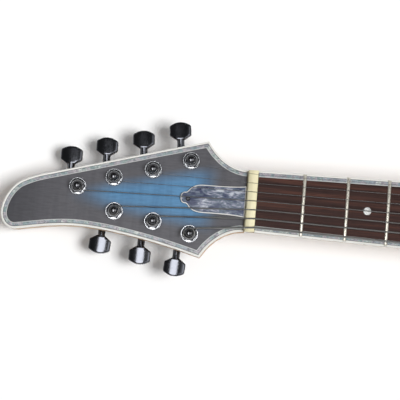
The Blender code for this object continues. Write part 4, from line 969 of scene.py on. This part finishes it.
strings = [add_string(number) for number in range(STRING_COUNT)]
nut = add_piece("bone_nut", nut_blank(), bone, stands_for=("nut",))
slots = bmesh.new()
for number in range(STRING_COUNT):
    pour(slots, slot_cutter(number))
cut(nut, slots)
print("strings:", len(strings), "and a nut with", STRING_COUNT, "slots")

# %% [markdown]
# The fingerboard is a plank with a round top. Shell strips and a thin white line are let
# into it along both edges, and white binding closes its sides and its end. Slabs that
# span the board are cut into narrow strips, so that they can follow the round of its top.
# The bars along the edges are narrow already, and are lowered as they are.

# %% Fingerboard
BOARD_BINDING = 0.0015
SHELL_WIDTH = 0.0027
LINE_WIDTH = 0.0005
FILLER_WIDTH = 0.0002
INLAY_DEPTH = 0.001
board_start = nut_front + FIT_GAP
board_low = SURFACE - BOARD_THICKNESS
cap_start = board_end - BOARD_BINDING


def edge_strips(inner, outer, bottom, top, rim=0.0):
    """Bars along both edges of the board, between two distances in from the edge."""
    bm = bmesh.new()
    ends = ((board_start, outer), (cap_start, outer), (cap_start, inner), (board_start, inner))
    for side in (1, -1):
        corners = [(x, side * (board_half(x) - distance)) for x, distance in ends]
        pour(bm, plate(corners, bottom, top, rim))
    return bend_to_board(bm)


def board_slab(start, end, start_half, end_half, rim=0.0):
    """A slab over the width of the board, from its floor to its round top."""
    corners = [(start, -start_half), (end, -end_half), (end, end_half), (start, start_half)]
    bm = plate(corners, board_low, SURFACE, rim)
    slices(bm, -board_half(end), board_half(end), 24)
    return bend_to_board(bm)


plank_halves = [board_half(x) - BOARD_BINDING for x in (board_start, cap_start)]
plank = board_slab(board_start, cap_start, *plank_halves)
add_piece("board_plank", plank, rosewood, stands_for=("fingerboard",))
edge = edge_strips(BOARD_BINDING, 0.0, board_low, SURFACE, 0.0002)
end_half = board_half(board_end)
pour(edge, board_slab(cap_start, board_end, end_half, end_half, 0.0002))
add_piece("board_edge", edge, white_plastic, stands_for=("fingerboard_binding",))
shell_out = BOARD_BINDING + FILLER_WIDTH
shell_in = shell_out + SHELL_WIDTH
for name, inner, outer, rise, finish in (
    ("board_filler", shell_out, BOARD_BINDING, 0.00001, dark_filler),
    ("board_shell_line", shell_in, shell_out, 0.00004, line_shell),
    ("board_white_line", shell_in + LINE_WIDTH, shell_in, 0.00004, grey_strip),
):
    add_piece(name, edge_strips(inner, outer, SURFACE - INLAY_DEPTH, SURFACE + rise), finish)
print("fingerboard from", round(board_start, 4), "to", round(board_end, 4))

# %% [markdown]
# A fret is a wire with a round crown that bends with the board and is bevelled at both
# ends. The position dots are thin discs of pearl between the frets, two of them at each
# octave, and small black dots in the side of the binding face the player.

# %% Frets and dots
FRET_WIDTH = 0.0027
FRET_CROWN = 0.0012
FRET_BEVEL = 0.0008
FRET_FOOT = 0.0004
DOT_RADIUS = 0.003
DOT_SHIFT = 0.0115
SIDE_DOT_RADIUS = 0.001
SIDE_DOT_SHIFT = 0.002
DOT_FRETS = (3, 5, 7, 9, 12, 15, 17, 19, 21, 24)
OCTAVES = (12, 24)


def fret_wire(x):
    half = board_half(x) - FIT_GAP
    wide = FRET_WIDTH / 2
    arch = [(x + wide * across, FRET_CROWN * up) for across, up in ring(1.0, 20)[:11]]
    foot = [(x - wide, -FRET_FOOT), (x + wide, -FRET_FOOT)]
    bm = placed(plate(arch + foot, -half, half), ON_SIDE)
    slices(bm, -half, half, 14)
    for vert in bm.verts:
        if abs(vert.co.y) > half - 1e-6:
            pull = FRET_BEVEL * max(vert.co.z, 0.0) / FRET_CROWN
            vert.co.y -= math.copysign(pull, vert.co.y)
    return bend_to_board(placed(bm, at(0, 0, SURFACE)))


frets = bmesh.new()
for number in range(1, FRET_COUNT + 1):
    pour(frets, fret_wire(fret_x(number)))
add_piece("frets", frets, fret_metal, angle=50)

dots = bmesh.new()
side_dots = bmesh.new()
for number in DOT_FRETS:
    x = (fret_x(number) + fret_x(number - 1)) / 2
    for side in (-1, 1) if number in OCTAVES else (0,):
        y = side * DOT_SHIFT
        level = SURFACE - crown_drop(y)
        pour(dots, plate(ring(DOT_RADIUS, 40, (x, y)), level - INLAY_DEPTH, level + 0.00003))
        place = at(x + side * SIDE_DOT_SHIFT, 0.0004 - board_half(x), SURFACE - 0.0030)
        pour(side_dots, plate(ring(SIDE_DOT_RADIUS, 20), 0.0, 0.00045), place @ ON_SIDE)
add_piece("position_dots", dots, dot_pearl)
add_piece("side_dots", side_dots, black_plastic)
print("frets:", FRET_COUNT, "with dots at", DOT_FRETS)

# %% [markdown]
# A hexagon nut over a washer clamps a tuner to the headstock. The washer is bright, and a
# low dark ring round it is painted shade for the shadow at its edge. A bright collar rises
# inside the nut round the post, which takes the string. Shapes are made standing at the origin, with the
# headstock's face at height 0.

# %% Washer, nut, collar and post
WASHER_RADIUS = 0.0069
WASHER_SHADOW_RING = 0.0004
HEX_ACROSS = 0.0105
BORE_RADIUS = 0.0034
COLLAR_RADIUS = 0.0046
POST_RISE = 0.0108
POST_WAIST = 0.0026
POST_CROWN = 0.0013
HOLE_RADIUS = 0.0009
HOLE_BELOW_TOP = 0.0042
WASHER_TOP = FIT_GAP + 0.0011
CASE_DEPTH = 0.0112


def washer_shape():
    """The bright part of the washer: a flat top and a slope all round it."""
    foot = WASHER_RADIUS - WASHER_SHADOW_RING
    step = FIT_GAP + 0.0006
    profile = (
        (BORE_RADIUS, FIT_GAP), (foot, FIT_GAP), (foot, step), (foot - 0.0002, step),
        (foot - 0.0006, WASHER_TOP - 0.00005), (foot - 0.0008, WASHER_TOP), (BORE_RADIUS, WASHER_TOP),
    )
    return lathe(profile, 64)


def shadow_ring_shape():
    """A low dark ring round the washer: painted shade for the shadow along its edge."""
    inner = WASHER_RADIUS - WASHER_SHADOW_RING
    high = FIT_GAP + 0.0004
    profile = (
        (inner, FIT_GAP), (WASHER_RADIUS, FIT_GAP), (WASHER_RADIUS, high - 0.0001),
        (WASHER_RADIUS - 0.0001, high), (inner, high),
    )
    return lathe(profile, 64)


def hexagon_shape():
    """Six-sided nut with its upper rim rounded."""
    corner = HEX_ACROSS / 2 / math.cos(math.radians(30))
    return plate(ring(corner, 6), WASHER_TOP, BUSHING_TOP, 0.0005, 3)


def collar_shape():
    """The collar's rim is a low ridge between a slope outside and one inside."""
    top = BUSHING_TOP + 0.00035
    profile = (
        (BORE_RADIUS, FIT_GAP), (COLLAR_RADIUS, FIT_GAP), (COLLAR_RADIUS, BUSHING_TOP),
        (COLLAR_RADIUS - 0.00035, top), (COLLAR_RADIUS - 0.0006, top),
        (COLLAR_RADIUS - 0.0009, BUSHING_TOP), (BORE_RADIUS, BUSHING_TOP),
    )
    return lathe(profile, 64)


def post_shape():
    """The post stands in the gear case, has a waist for the string and ends in a dome."""
    bottom = -HEAD_THICKNESS - CASE_DEPTH + 0.0018
    low = BUSHING_TOP + 0.0005
    high = POST_RISE - 0.0024
    shank = [
        (0.0, bottom), (POST_RADIUS, bottom), (POST_RADIUS, low), (POST_WAIST, low + 0.0005),
        (POST_WAIST, high - 0.0005), (POST_RADIUS, high),
    ]
    return lathe(shank + quarter_round(POST_RADIUS, POST_RISE - POST_CROWN, POST_CROWN, 8), 40)


print("washer, hexagon, collar and post shapes ready")

# %% [markdown]
# The gear case is a small box with rounded edges under the headstock. It reaches further
# to one side of the post, because worm and wheel lie side by side in it, and a turned
# cover closes it below the wheel.

# %% Gear cases
CASE_WIDTH = 0.0165
CASE_LENGTH = 0.0235
CASE_TOP = -HEAD_THICKNESS - FIT_GAP
CASE_FLOOR = CASE_TOP - CASE_DEPTH
WORM_OFFSET = 0.0088


def case_shape(hand):
    """Gear case with a turned cover over the worm wheel."""
    outline = rounded_rectangle((-hand * WORM_OFFSET / 2, 0.0), (CASE_LENGTH, CASE_WIDTH), 0.0035)
    bm = placed(plate(outline, -CASE_TOP, -CASE_FLOOR, 0.0018, 4), FACE_DOWN)
    profile = ((0.0, -0.001), (0.0046, -0.001), (0.0046, 0.0004), (0.0042, 0.0007), (0.0, 0.0007))
    return pour(bm, lathe(profile, 40), at(0, 0, CASE_FLOOR) @ FACE_DOWN)


print("gear cases from", round(CASE_TOP, 4), "down to", round(CASE_FLOOR, 4))

# %% [markdown]
# The key's button is bean-shaped: an arched outer end, short straight sides and sloping
# shoulders. It starts as a plate with rounded rims, gets loops across its width, and is
# then made thinner towards both sides, so that light runs over it in one soft stripe. The
# stem and the shaft that runs into the gear case are one turned body.

# %% Keys
KEY_REACH = 0.0267
BUTTON_WIDTH = 0.017
BUTTON_HEIGHT = 0.013
BUTTON_FOOT = 0.0011
BUTTON_HALF_THICK = 0.0032
BUTTON_CROWN = 0.28
STEM_RADIUS = 0.0031
SHAFT_RADIUS = 0.0025
SHAFT_INSIDE = 0.012


def button_shape():
    half = BUTTON_WIDTH / 2
    bottom = KEY_REACH - BUTTON_HEIGHT / 2 - BUTTON_FOOT
    top = KEY_REACH + BUTTON_HEIGHT / 2
    runs = (
        ((half - 0.0010, bottom + 0.0029),),
        ((half - 0.0003, bottom + 0.0032), (half, bottom + 0.0036), (half, bottom + 0.0043), 4),
        ((half, top - 0.0040),),
        ((half, top - 0.0031), (half - 0.0004, top - 0.0026), (half - 0.0013, top - 0.0021), 4),
        ((half - 0.0035, top - 0.0010), (0.0035, top), (0.0, top), 8),
    )
    right = curve_path((STEM_RADIUS, bottom), runs)
    points = right + [(-x, y) for x, y in right[-2::-1]]
    bm = plate(points, -BUTTON_HALF_THICK, BUTTON_HALF_THICK, 0.0010, 4, both=True)
    slices(bm, -half, half, 18, (1, 0, 0))
    slices(bm, bottom, top, 9)
    for vert in bm.verts:
        vert.co.z *= 1 - BUTTON_CROWN * (vert.co.x / half) ** 2
    return bm


def key_shape():
    inner = CASE_WIDTH / 2 - SHAFT_INSIDE + 2 * FIT_GAP
    collar = CASE_WIDTH / 2 + 0.0004
    bottom = KEY_REACH - BUTTON_HEIGHT / 2
    profile = (
        (0.0, inner), (SHAFT_RADIUS, inner), (SHAFT_RADIUS, collar), (STEM_RADIUS + 0.0005, collar),
        (STEM_RADIUS + 0.0005, collar + 0.0012), (STEM_RADIUS - 0.0001, collar + 0.0018),
        (STEM_RADIUS - 0.0002, bottom - 0.0022), (STEM_RADIUS, bottom - 0.0006),
        (STEM_RADIUS, bottom + 0.0006), (SHAFT_RADIUS, KEY_REACH), (0.0, KEY_REACH),
    )
    bm = placed(lathe(profile, 32), Matrix.Rotation(-math.pi / 2, 4, "X"))
    return pour(bm, button_shape())


print("key reaches", KEY_REACH, "m from the post to the middle of its button")

# %% [markdown]
# Every tuner gets the same pieces in its own frame, with key and gear case shifted to its
# side. Key and post ride on bodies of their own, because they turn. A hole for the string
# goes through the post near its top. The collars join the strings in a list for the lamps.

# %% Tuners in place
def tuner_pieces(number, hand):
    """Kind, shape, finish, body and node of each piece of a tuner, all in its own frame."""
    key_place = at(-hand * WORM_OFFSET, 0, (CASE_TOP + CASE_FLOOR) / 2)
    screw_place = at(-hand * WORM_OFFSET * 1.1, 0, CASE_FLOOR) @ FACE_DOWN
    return (
        ("washer", washer_shape(), bright_plate, "root", "bushing"),
        # painted shade: a dark ring round the washer stands for the shadow at its edge
        ("washer_shadow_ring", shadow_ring_shape(), black_screw, "root", None),
        ("hexagon", hexagon_shape(), black_screw, "root", None),
        ("collar", collar_shape(), bright_plate, "root", None),
        ("post", post_shape(), post_plate, f"tuner_{number}_post", "post"),
        ("key", placed(key_shape(), key_place), key_plate, f"tuner_{number}_key", "key"),
        ("gear_case", case_shape(hand), dark_plate, "root", "housing"),
        ("case_screw", placed(cross_screw(0.0032, 0.0006), screw_place), black_screw, "root", None),
    )


away_from_card = list(strings)
for number in range(1, STRING_COUNT + 1):
    place = tuner_matrix(number)
    made = {}
    for kind, shape, finish, body, node in tuner_pieces(number, tuner_side(number)):
        stands_for = (f"tuner_{node}_{number}",) if node else ()
        made[kind] = add_piece(f"{kind}_{number}", placed(shape, place), finish, body, stands_for)
    hole = placed(plate(ring(HOLE_RADIUS, 20), -0.01, 0.01), Matrix.Rotation(math.pi / 2, 4, "Y"))
    cut(made["post"], placed(hole, place @ at(0, 0, POST_RISE - HOLE_BELOW_TOP)))
    away_from_card.append(made["collar"])
print("tuners:", STRING_COUNT, "of", len(made), "pieces each")

# %% [markdown]
# Neck and body keep the shapes of the frame. Their triangles are merged back into whole
# faces and the edges are rounded a little, because wood and lacquer never end in a knife
# edge. The cap has its burst lacquer, and the back and sides are plain mahogany.

# %% Neck and body
softened("neck", "neck_shaft", neck_wood, 0.0004)
softened("body_core", "body_back", back_wood, 0.0006)
softened("body_top", "body_cap", body_blue, 0.0003)
softened("body_binding", "body_edge", white_plastic, 0.0003)
softened("control_cover", "cavity_cover", black_plastic, 0.0004)
paint("truss_rod", steel)
print("neck, body, binding and cover softened")

# %% [markdown]
# The pickups are two coils each under black covers, with a steel pole piece for every
# string in each coil. The poles follow the strings, which lie closer together towards the
# neck, so each coil gets its own spacing.

# %% Pickups
POLE_RADIUS = 0.0023
COIL_SPACING = 0.0181


def string_at(number, x):
    share = x / nut_front
    return string_side(number, SADDLE_SPREAD) * (1 - share) + string_side(number, NUT_SPREAD) * share


for pickup in ("pickup_neck", "pickup_bridge"):
    low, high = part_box(pickup)
    softened(pickup, f"{pickup}_cover", black_plastic, 0.0006, 3)
    poles = bmesh.new()
    middle = (low.x + high.x) / 2
    for coil in (-1, 1):
        x = middle + coil * COIL_SPACING / 2
        for number in range(STRING_COUNT):
            pole = plate(ring(POLE_RADIUS, 28), 0.0, 0.0013, 0.0002)
            pour(poles, pole, at(x, string_at(number, x), high.z - 0.001))
    add_piece(f"{pickup}_poles", poles, steel)
print("pickups with", 2 * STRING_COUNT, "poles each")

# %% [markdown]
# The bridge has a plate with a wall at its rear and seven saddles. Two screws in each
# saddle set its height, and a long one that starts in the wall sets its place along the
# string. Behind the wall each string ends in a ball end, a small drum across its line.

# %% Bridge
HEIGHT_SCREW = (0.0100, 0.0030)
LENGTH_SCREW = (0.0028, 0.0022)
BALL_PROFILE = (
    (0.0, -0.0017), (0.0017, -0.0017), (0.0019, -0.0013), (0.0019, 0.0013), (0.0017, 0.0017),
    (0.0, 0.0017),
)

softened("bridge", "bridge_plate", dark_plate, 0.0003)
fittings = bmesh.new()
balls = bmesh.new()
for number in range(STRING_COUNT):
    y = string_side(number, SADDLE_SPREAD)
    for side in (-1, 1):
        place = at(HEIGHT_SCREW[0], y + side * HEIGHT_SCREW[1], PLATE_TOP)
        pour(fittings, plate(ring(0.0011, 16), 0.0, 0.0042), place)
    start = Vector((BRIDGE_REAR - 0.003, y + LENGTH_SCREW[0], PLATE_TOP + LENGTH_SCREW[1]))
    pour(fittings, plate(ring(0.0009, 16), -0.001, 0.013), along(start, (0.0, start.y, start.z)))
    pour(balls, lathe(BALL_PROFILE, 24), at(BRIDGE_REAR + 0.0021, y, BALL_LEVEL) @ ON_SIDE)
add_piece("ball_ends", balls, bright_plate)
add_piece("saddle_screws", fittings, steel)
print("bridge fitted with", 3 * STRING_COUNT, "screws and", STRING_COUNT, "ball ends")

# %% [markdown]
# Small black screws hold the pickups by their ears, the bridge by the corners of its
# plate, and the plate over the controls, where their heads lie almost flush so that the
# guitar rests on its back and not on them.

# %% Mounting screws
EAR_TOP = 0.0492
FLUSH_RISE = 0.0002


def corner_places(low, high, distance, level):
    """Places at one level inside the four corners of a box, all as far in from its sides."""
    sides = [(low[axis] + distance, high[axis] - distance) for axis in (0, 1)]
    return [at(x, y, level) for x in sides[0] for y in sides[1]]


for pickup in ("pickup_neck", "pickup_bridge"):
    low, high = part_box(pickup)
    ears = [at((low.x + high.x) / 2, side * (high.y - 0.004), EAR_TOP) for side in (-1, 1)]
    screw_group(f"{pickup}_screws", ears, 0.0040, 0.0008)
bridge_corners = corner_places(*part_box("bridge"), 0.0046, PLATE_TOP)
rear_pair = [at(-0.005, 0, 0) @ place for place in bridge_corners[2:]]
screw_group("bridge_screws", bridge_corners[:2] + rear_pair, 0.0052, 0.0010)
low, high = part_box("control_cover")
cover_corners = [place @ FACE_DOWN for place in corner_places(low, high, 0.0052, low.z)]
screw_group("cover_screws", cover_corners, 0.0054, FLUSH_RISE)
print("screws: 4 in the pickups, 4 in the bridge, 4 in the cover")

# %% [markdown]
# Knobs are turned, domed and knurled so that fingers grip them. The knurl is a ring of
# fine ridges: every second point of the outline stands a little further in.

# %% Controls
KNOB_TEETH = 60
KNOB_DOME = 0.0020


def knob_shape(name):
    low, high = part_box(name)
    radius = (high.x - low.x) / 2
    bottom = BODY_TOP + 0.0007
    ridges = ring(radius - 0.0001, 2 * KNOB_TEETH)[::2]
    grooves = ring(radius - 0.0004, 2 * KNOB_TEETH)[1::2]
    wall = [point for pair in zip(ridges, grooves) for point in pair]
    bm = plate(wall, bottom + 0.0015, high.z - 0.0022)
    skirt = (
        (0.0, bottom), (radius - 0.0003, bottom), (radius, bottom + 0.0004),
        (radius, bottom + 0.0013), (radius - 0.0004, bottom + 0.0017), (0.0, bottom + 0.0017),
    )
    pour(bm, lathe(skirt, 72))
    narrow = radius - 0.0006
    foot = [(0.0, high.z - 0.0024), (narrow, high.z - 0.0024)]
    pour(bm, lathe(foot + quarter_round(narrow, high.z - KNOB_DOME, KNOB_DOME, 8, 0.6), 72))
    return placed(bm, at((low.x + high.x) / 2, (low.y + high.y) / 2, 0))


add_piece("volume_grip", knob_shape("volume_knob"), dark_plate, "volume", ("volume_knob",))
add_piece("tone_grip", knob_shape("tone_knob"), dark_plate, "tone", ("tone_knob",))
softened("selector_lever", "selector_blade", steel, 0.0002, body="selector")
softened("selector_switch", "selector_case", black_plastic, 0.0003)
paint("volume_pot", steel)
paint("tone_pot", steel)
print("two knobs with", KNOB_TEETH, "ridges each")

# %% [markdown]
# Jack and strap buttons are small plain parts, and the frame has their shapes already.
# They only get their edges rounded and the same dark plating as the bridge.

# %% Jack and strap buttons
for node in ("output_jack", "strap_button_tail", "strap_button_horn"):
    softened(node, f"{node}_finish", dark_plate, 0.0002)
print("jack and strap buttons finished")

# %% [markdown]
# The background is white, and the light from all sides is low, so it only fills shadows.
# Metal shows what is round it, so glossy rays see a sky of their own: white at the
# horizon, dark overhead, and with a bright patch where the lamp stands.

# %% Sky
SKY_FILL = 0.28
ZENITH = 0.09
SUN_FROM = (0.41, -0.08, 0.91)
GLINT_RADIANCE = 3.0
GLINT_EDGE = 22.0
GLINT_CORE = 8.0

world = bpy.data.worlds.new("studio")
world.use_nodes = True
bpy.context.scene.world = world
path = add_node(world, "LightPath", []).outputs
heading = add_node(world, "TexCoord", []).outputs["Generated"]
rise = add_node(world, "SeparateXYZ", [("Vector", heading)]).outputs[2]
limits = [("Value", rise), ("From Min", 0.10), ("From Max", 0.75), ("To Min", 1.0), ("To Max", ZENITH)]
mirrored_sky = add_node(world, "MapRange", limits, interpolation_type="SMOOTHSTEP").outputs[0]
directions = [(0, heading), (1, Vector(SUN_FROM).normalized())]
towards_sun = add_node(world, "VectorMath", directions, operation="DOT_PRODUCT").outputs["Value"]
edge, core = (math.cos(math.radians(degrees)) for degrees in (GLINT_EDGE, GLINT_CORE))
glint = maths(world, "MULTIPLY", smooth_step(world, towards_sun, edge, core), GLINT_RADIANCE)
mirrored_sky = maths(world, "ADD", mirrored_sky, glint)
shiny = maths(world, "MAXIMUM", path["Is Glossy Ray"], path["Is Transmission Ray"])
lit = add_node(world, "Mix", [(0, shiny), (2, SKY_FILL), (3, mirrored_sky)], data_type="FLOAT").outputs[0]
shown = [(0, path["Is Camera Ray"]), (2, lit), (3, 1.0)]
level = add_node(world, "Mix", shown, data_type="FLOAT").outputs[0]
background = world.node_tree.nodes["Background"]
background.inputs["Color"].default_value = (1.0, 1.0, 1.0, 1.0)
world.node_tree.links.new(level, background.inputs["Strength"])
print("sky nodes:", len(world.node_tree.nodes))

# %% [markdown]
# One lamp like a large, soft sun shines from high up on the right. A lit card hangs above
# the bass side of the headstock, near its mirror direction, and only gloss shows it: it
# draws the stripe on the keys and lifts the bass half of the lacquer. Strings and collars
# are left out of its light, because its glint would turn the dark wires pale.

# %% Lamps
SUN_STRENGTH = 2.58
SUN_ANGLE = math.radians(26)
CARD_RADIANCE = 9.5
CARD_LOW = (-1.007, -0.360)
CARD_HIGH = (-0.753, 0.085)
CARD_HEIGHT = 0.90

sun_data = bpy.data.lights.new("sun", "SUN")
sun_data.energy = SUN_STRENGTH
sun_data.angle = SUN_ANGLE
sun = linked("sun", sun_data)
sun.rotation_euler = Vector(SUN_FROM).to_track_quat("Z", "Y").to_euler()
sun.visible_glossy = False

card_data = bpy.data.lights.new("card", "AREA")
card_data.shape = "RECTANGLE"
card_data.size, card_data.size_y = (high - low for low, high in zip(CARD_LOW, CARD_HIGH))
card_data.energy = CARD_RADIANCE * math.pi * card_data.size * card_data.size_y
card = linked("card", card_data)
card.location = [(low + high) / 2 for low, high in zip(CARD_LOW, CARD_HIGH)] + [CARD_HEIGHT]
card.visible_camera = False
card.visible_diffuse = False
unlit = bpy.data.collections.new("away_from_card")
card.light_linking.receiver_collection = unlit
for index, piece in enumerate(away_from_card):
    unlit.objects.link(piece)
    unlit.collection_objects[index].light_linking.link_state = "EXCLUDE"
print("card of", round(card_data.size, 3), "by", round(card_data.size_y, 3), "m")

# %% [markdown]
# The floor is a broad white slab just under the guitar. It shines faintly for the camera
# alone, which makes it as white as the background and keeps the soft shadow on it.

# %% Floor
FLOOR_LIFT = 0.07
FLOOR_HALF = 7.0

floor_finish = new_finish("floor", (0.95, 0.95, 0.95), 1.0, gloss=0.0)
floor_shader = floor_finish.node_tree.nodes["Principled BSDF"]
floor_shader.inputs["Emission Color"].default_value = (1.0, 1.0, 1.0, 1.0)
seen = add_node(floor_finish, "LightPath", []).outputs["Is Camera Ray"]
feed(floor_finish, "Emission Strength", maths(floor_finish, "MULTIPLY", seen, FLOOR_LIFT))
corners = [(x * FLOOR_HALF, y * FLOOR_HALF) for x, y in ((-1, -1), (1, -1), (1, 1), (-1, 1))]
floor = linked("floor", mesh_from(plate(corners, -0.011, -0.001), "floor"))
floor.data.materials.append(floor_finish)
print("floor", 2 * FLOOR_HALF, "m wide")

# %% [markdown]
# The camera looks almost straight down at the headstock through a long lens, turned a
# few degrees, so that the neck leaves the picture at the right.

# %% Camera
CAMERA_PLACE = Vector((-0.80975, -0.15632, 1.53819))
CAMERA_AIM = Vector((-0.69121, -0.00190, 0.04500))
CAMERA_ROLL = math.radians(4.638)
CAMERA_LENS = 174.355

look = (CAMERA_AIM - CAMERA_PLACE).normalized()
picture_up = Vector((-math.sin(CAMERA_ROLL), math.cos(CAMERA_ROLL), 0.0))
right = look.cross(picture_up).normalized()
picture_up = right.cross(look)
camera_data = bpy.data.cameras.new("camera")
camera_data.lens = CAMERA_LENS
camera_data.sensor_width = 36.0
camera = linked("camera", camera_data)
camera.matrix_world = axes_at(CAMERA_PLACE, right, picture_up, -look)
bpy.context.scene.camera = camera
bpy.context.scene.view_settings.view_transform = "Standard"
print("camera", round((CAMERA_AIM - CAMERA_PLACE).length, 3), "m away")
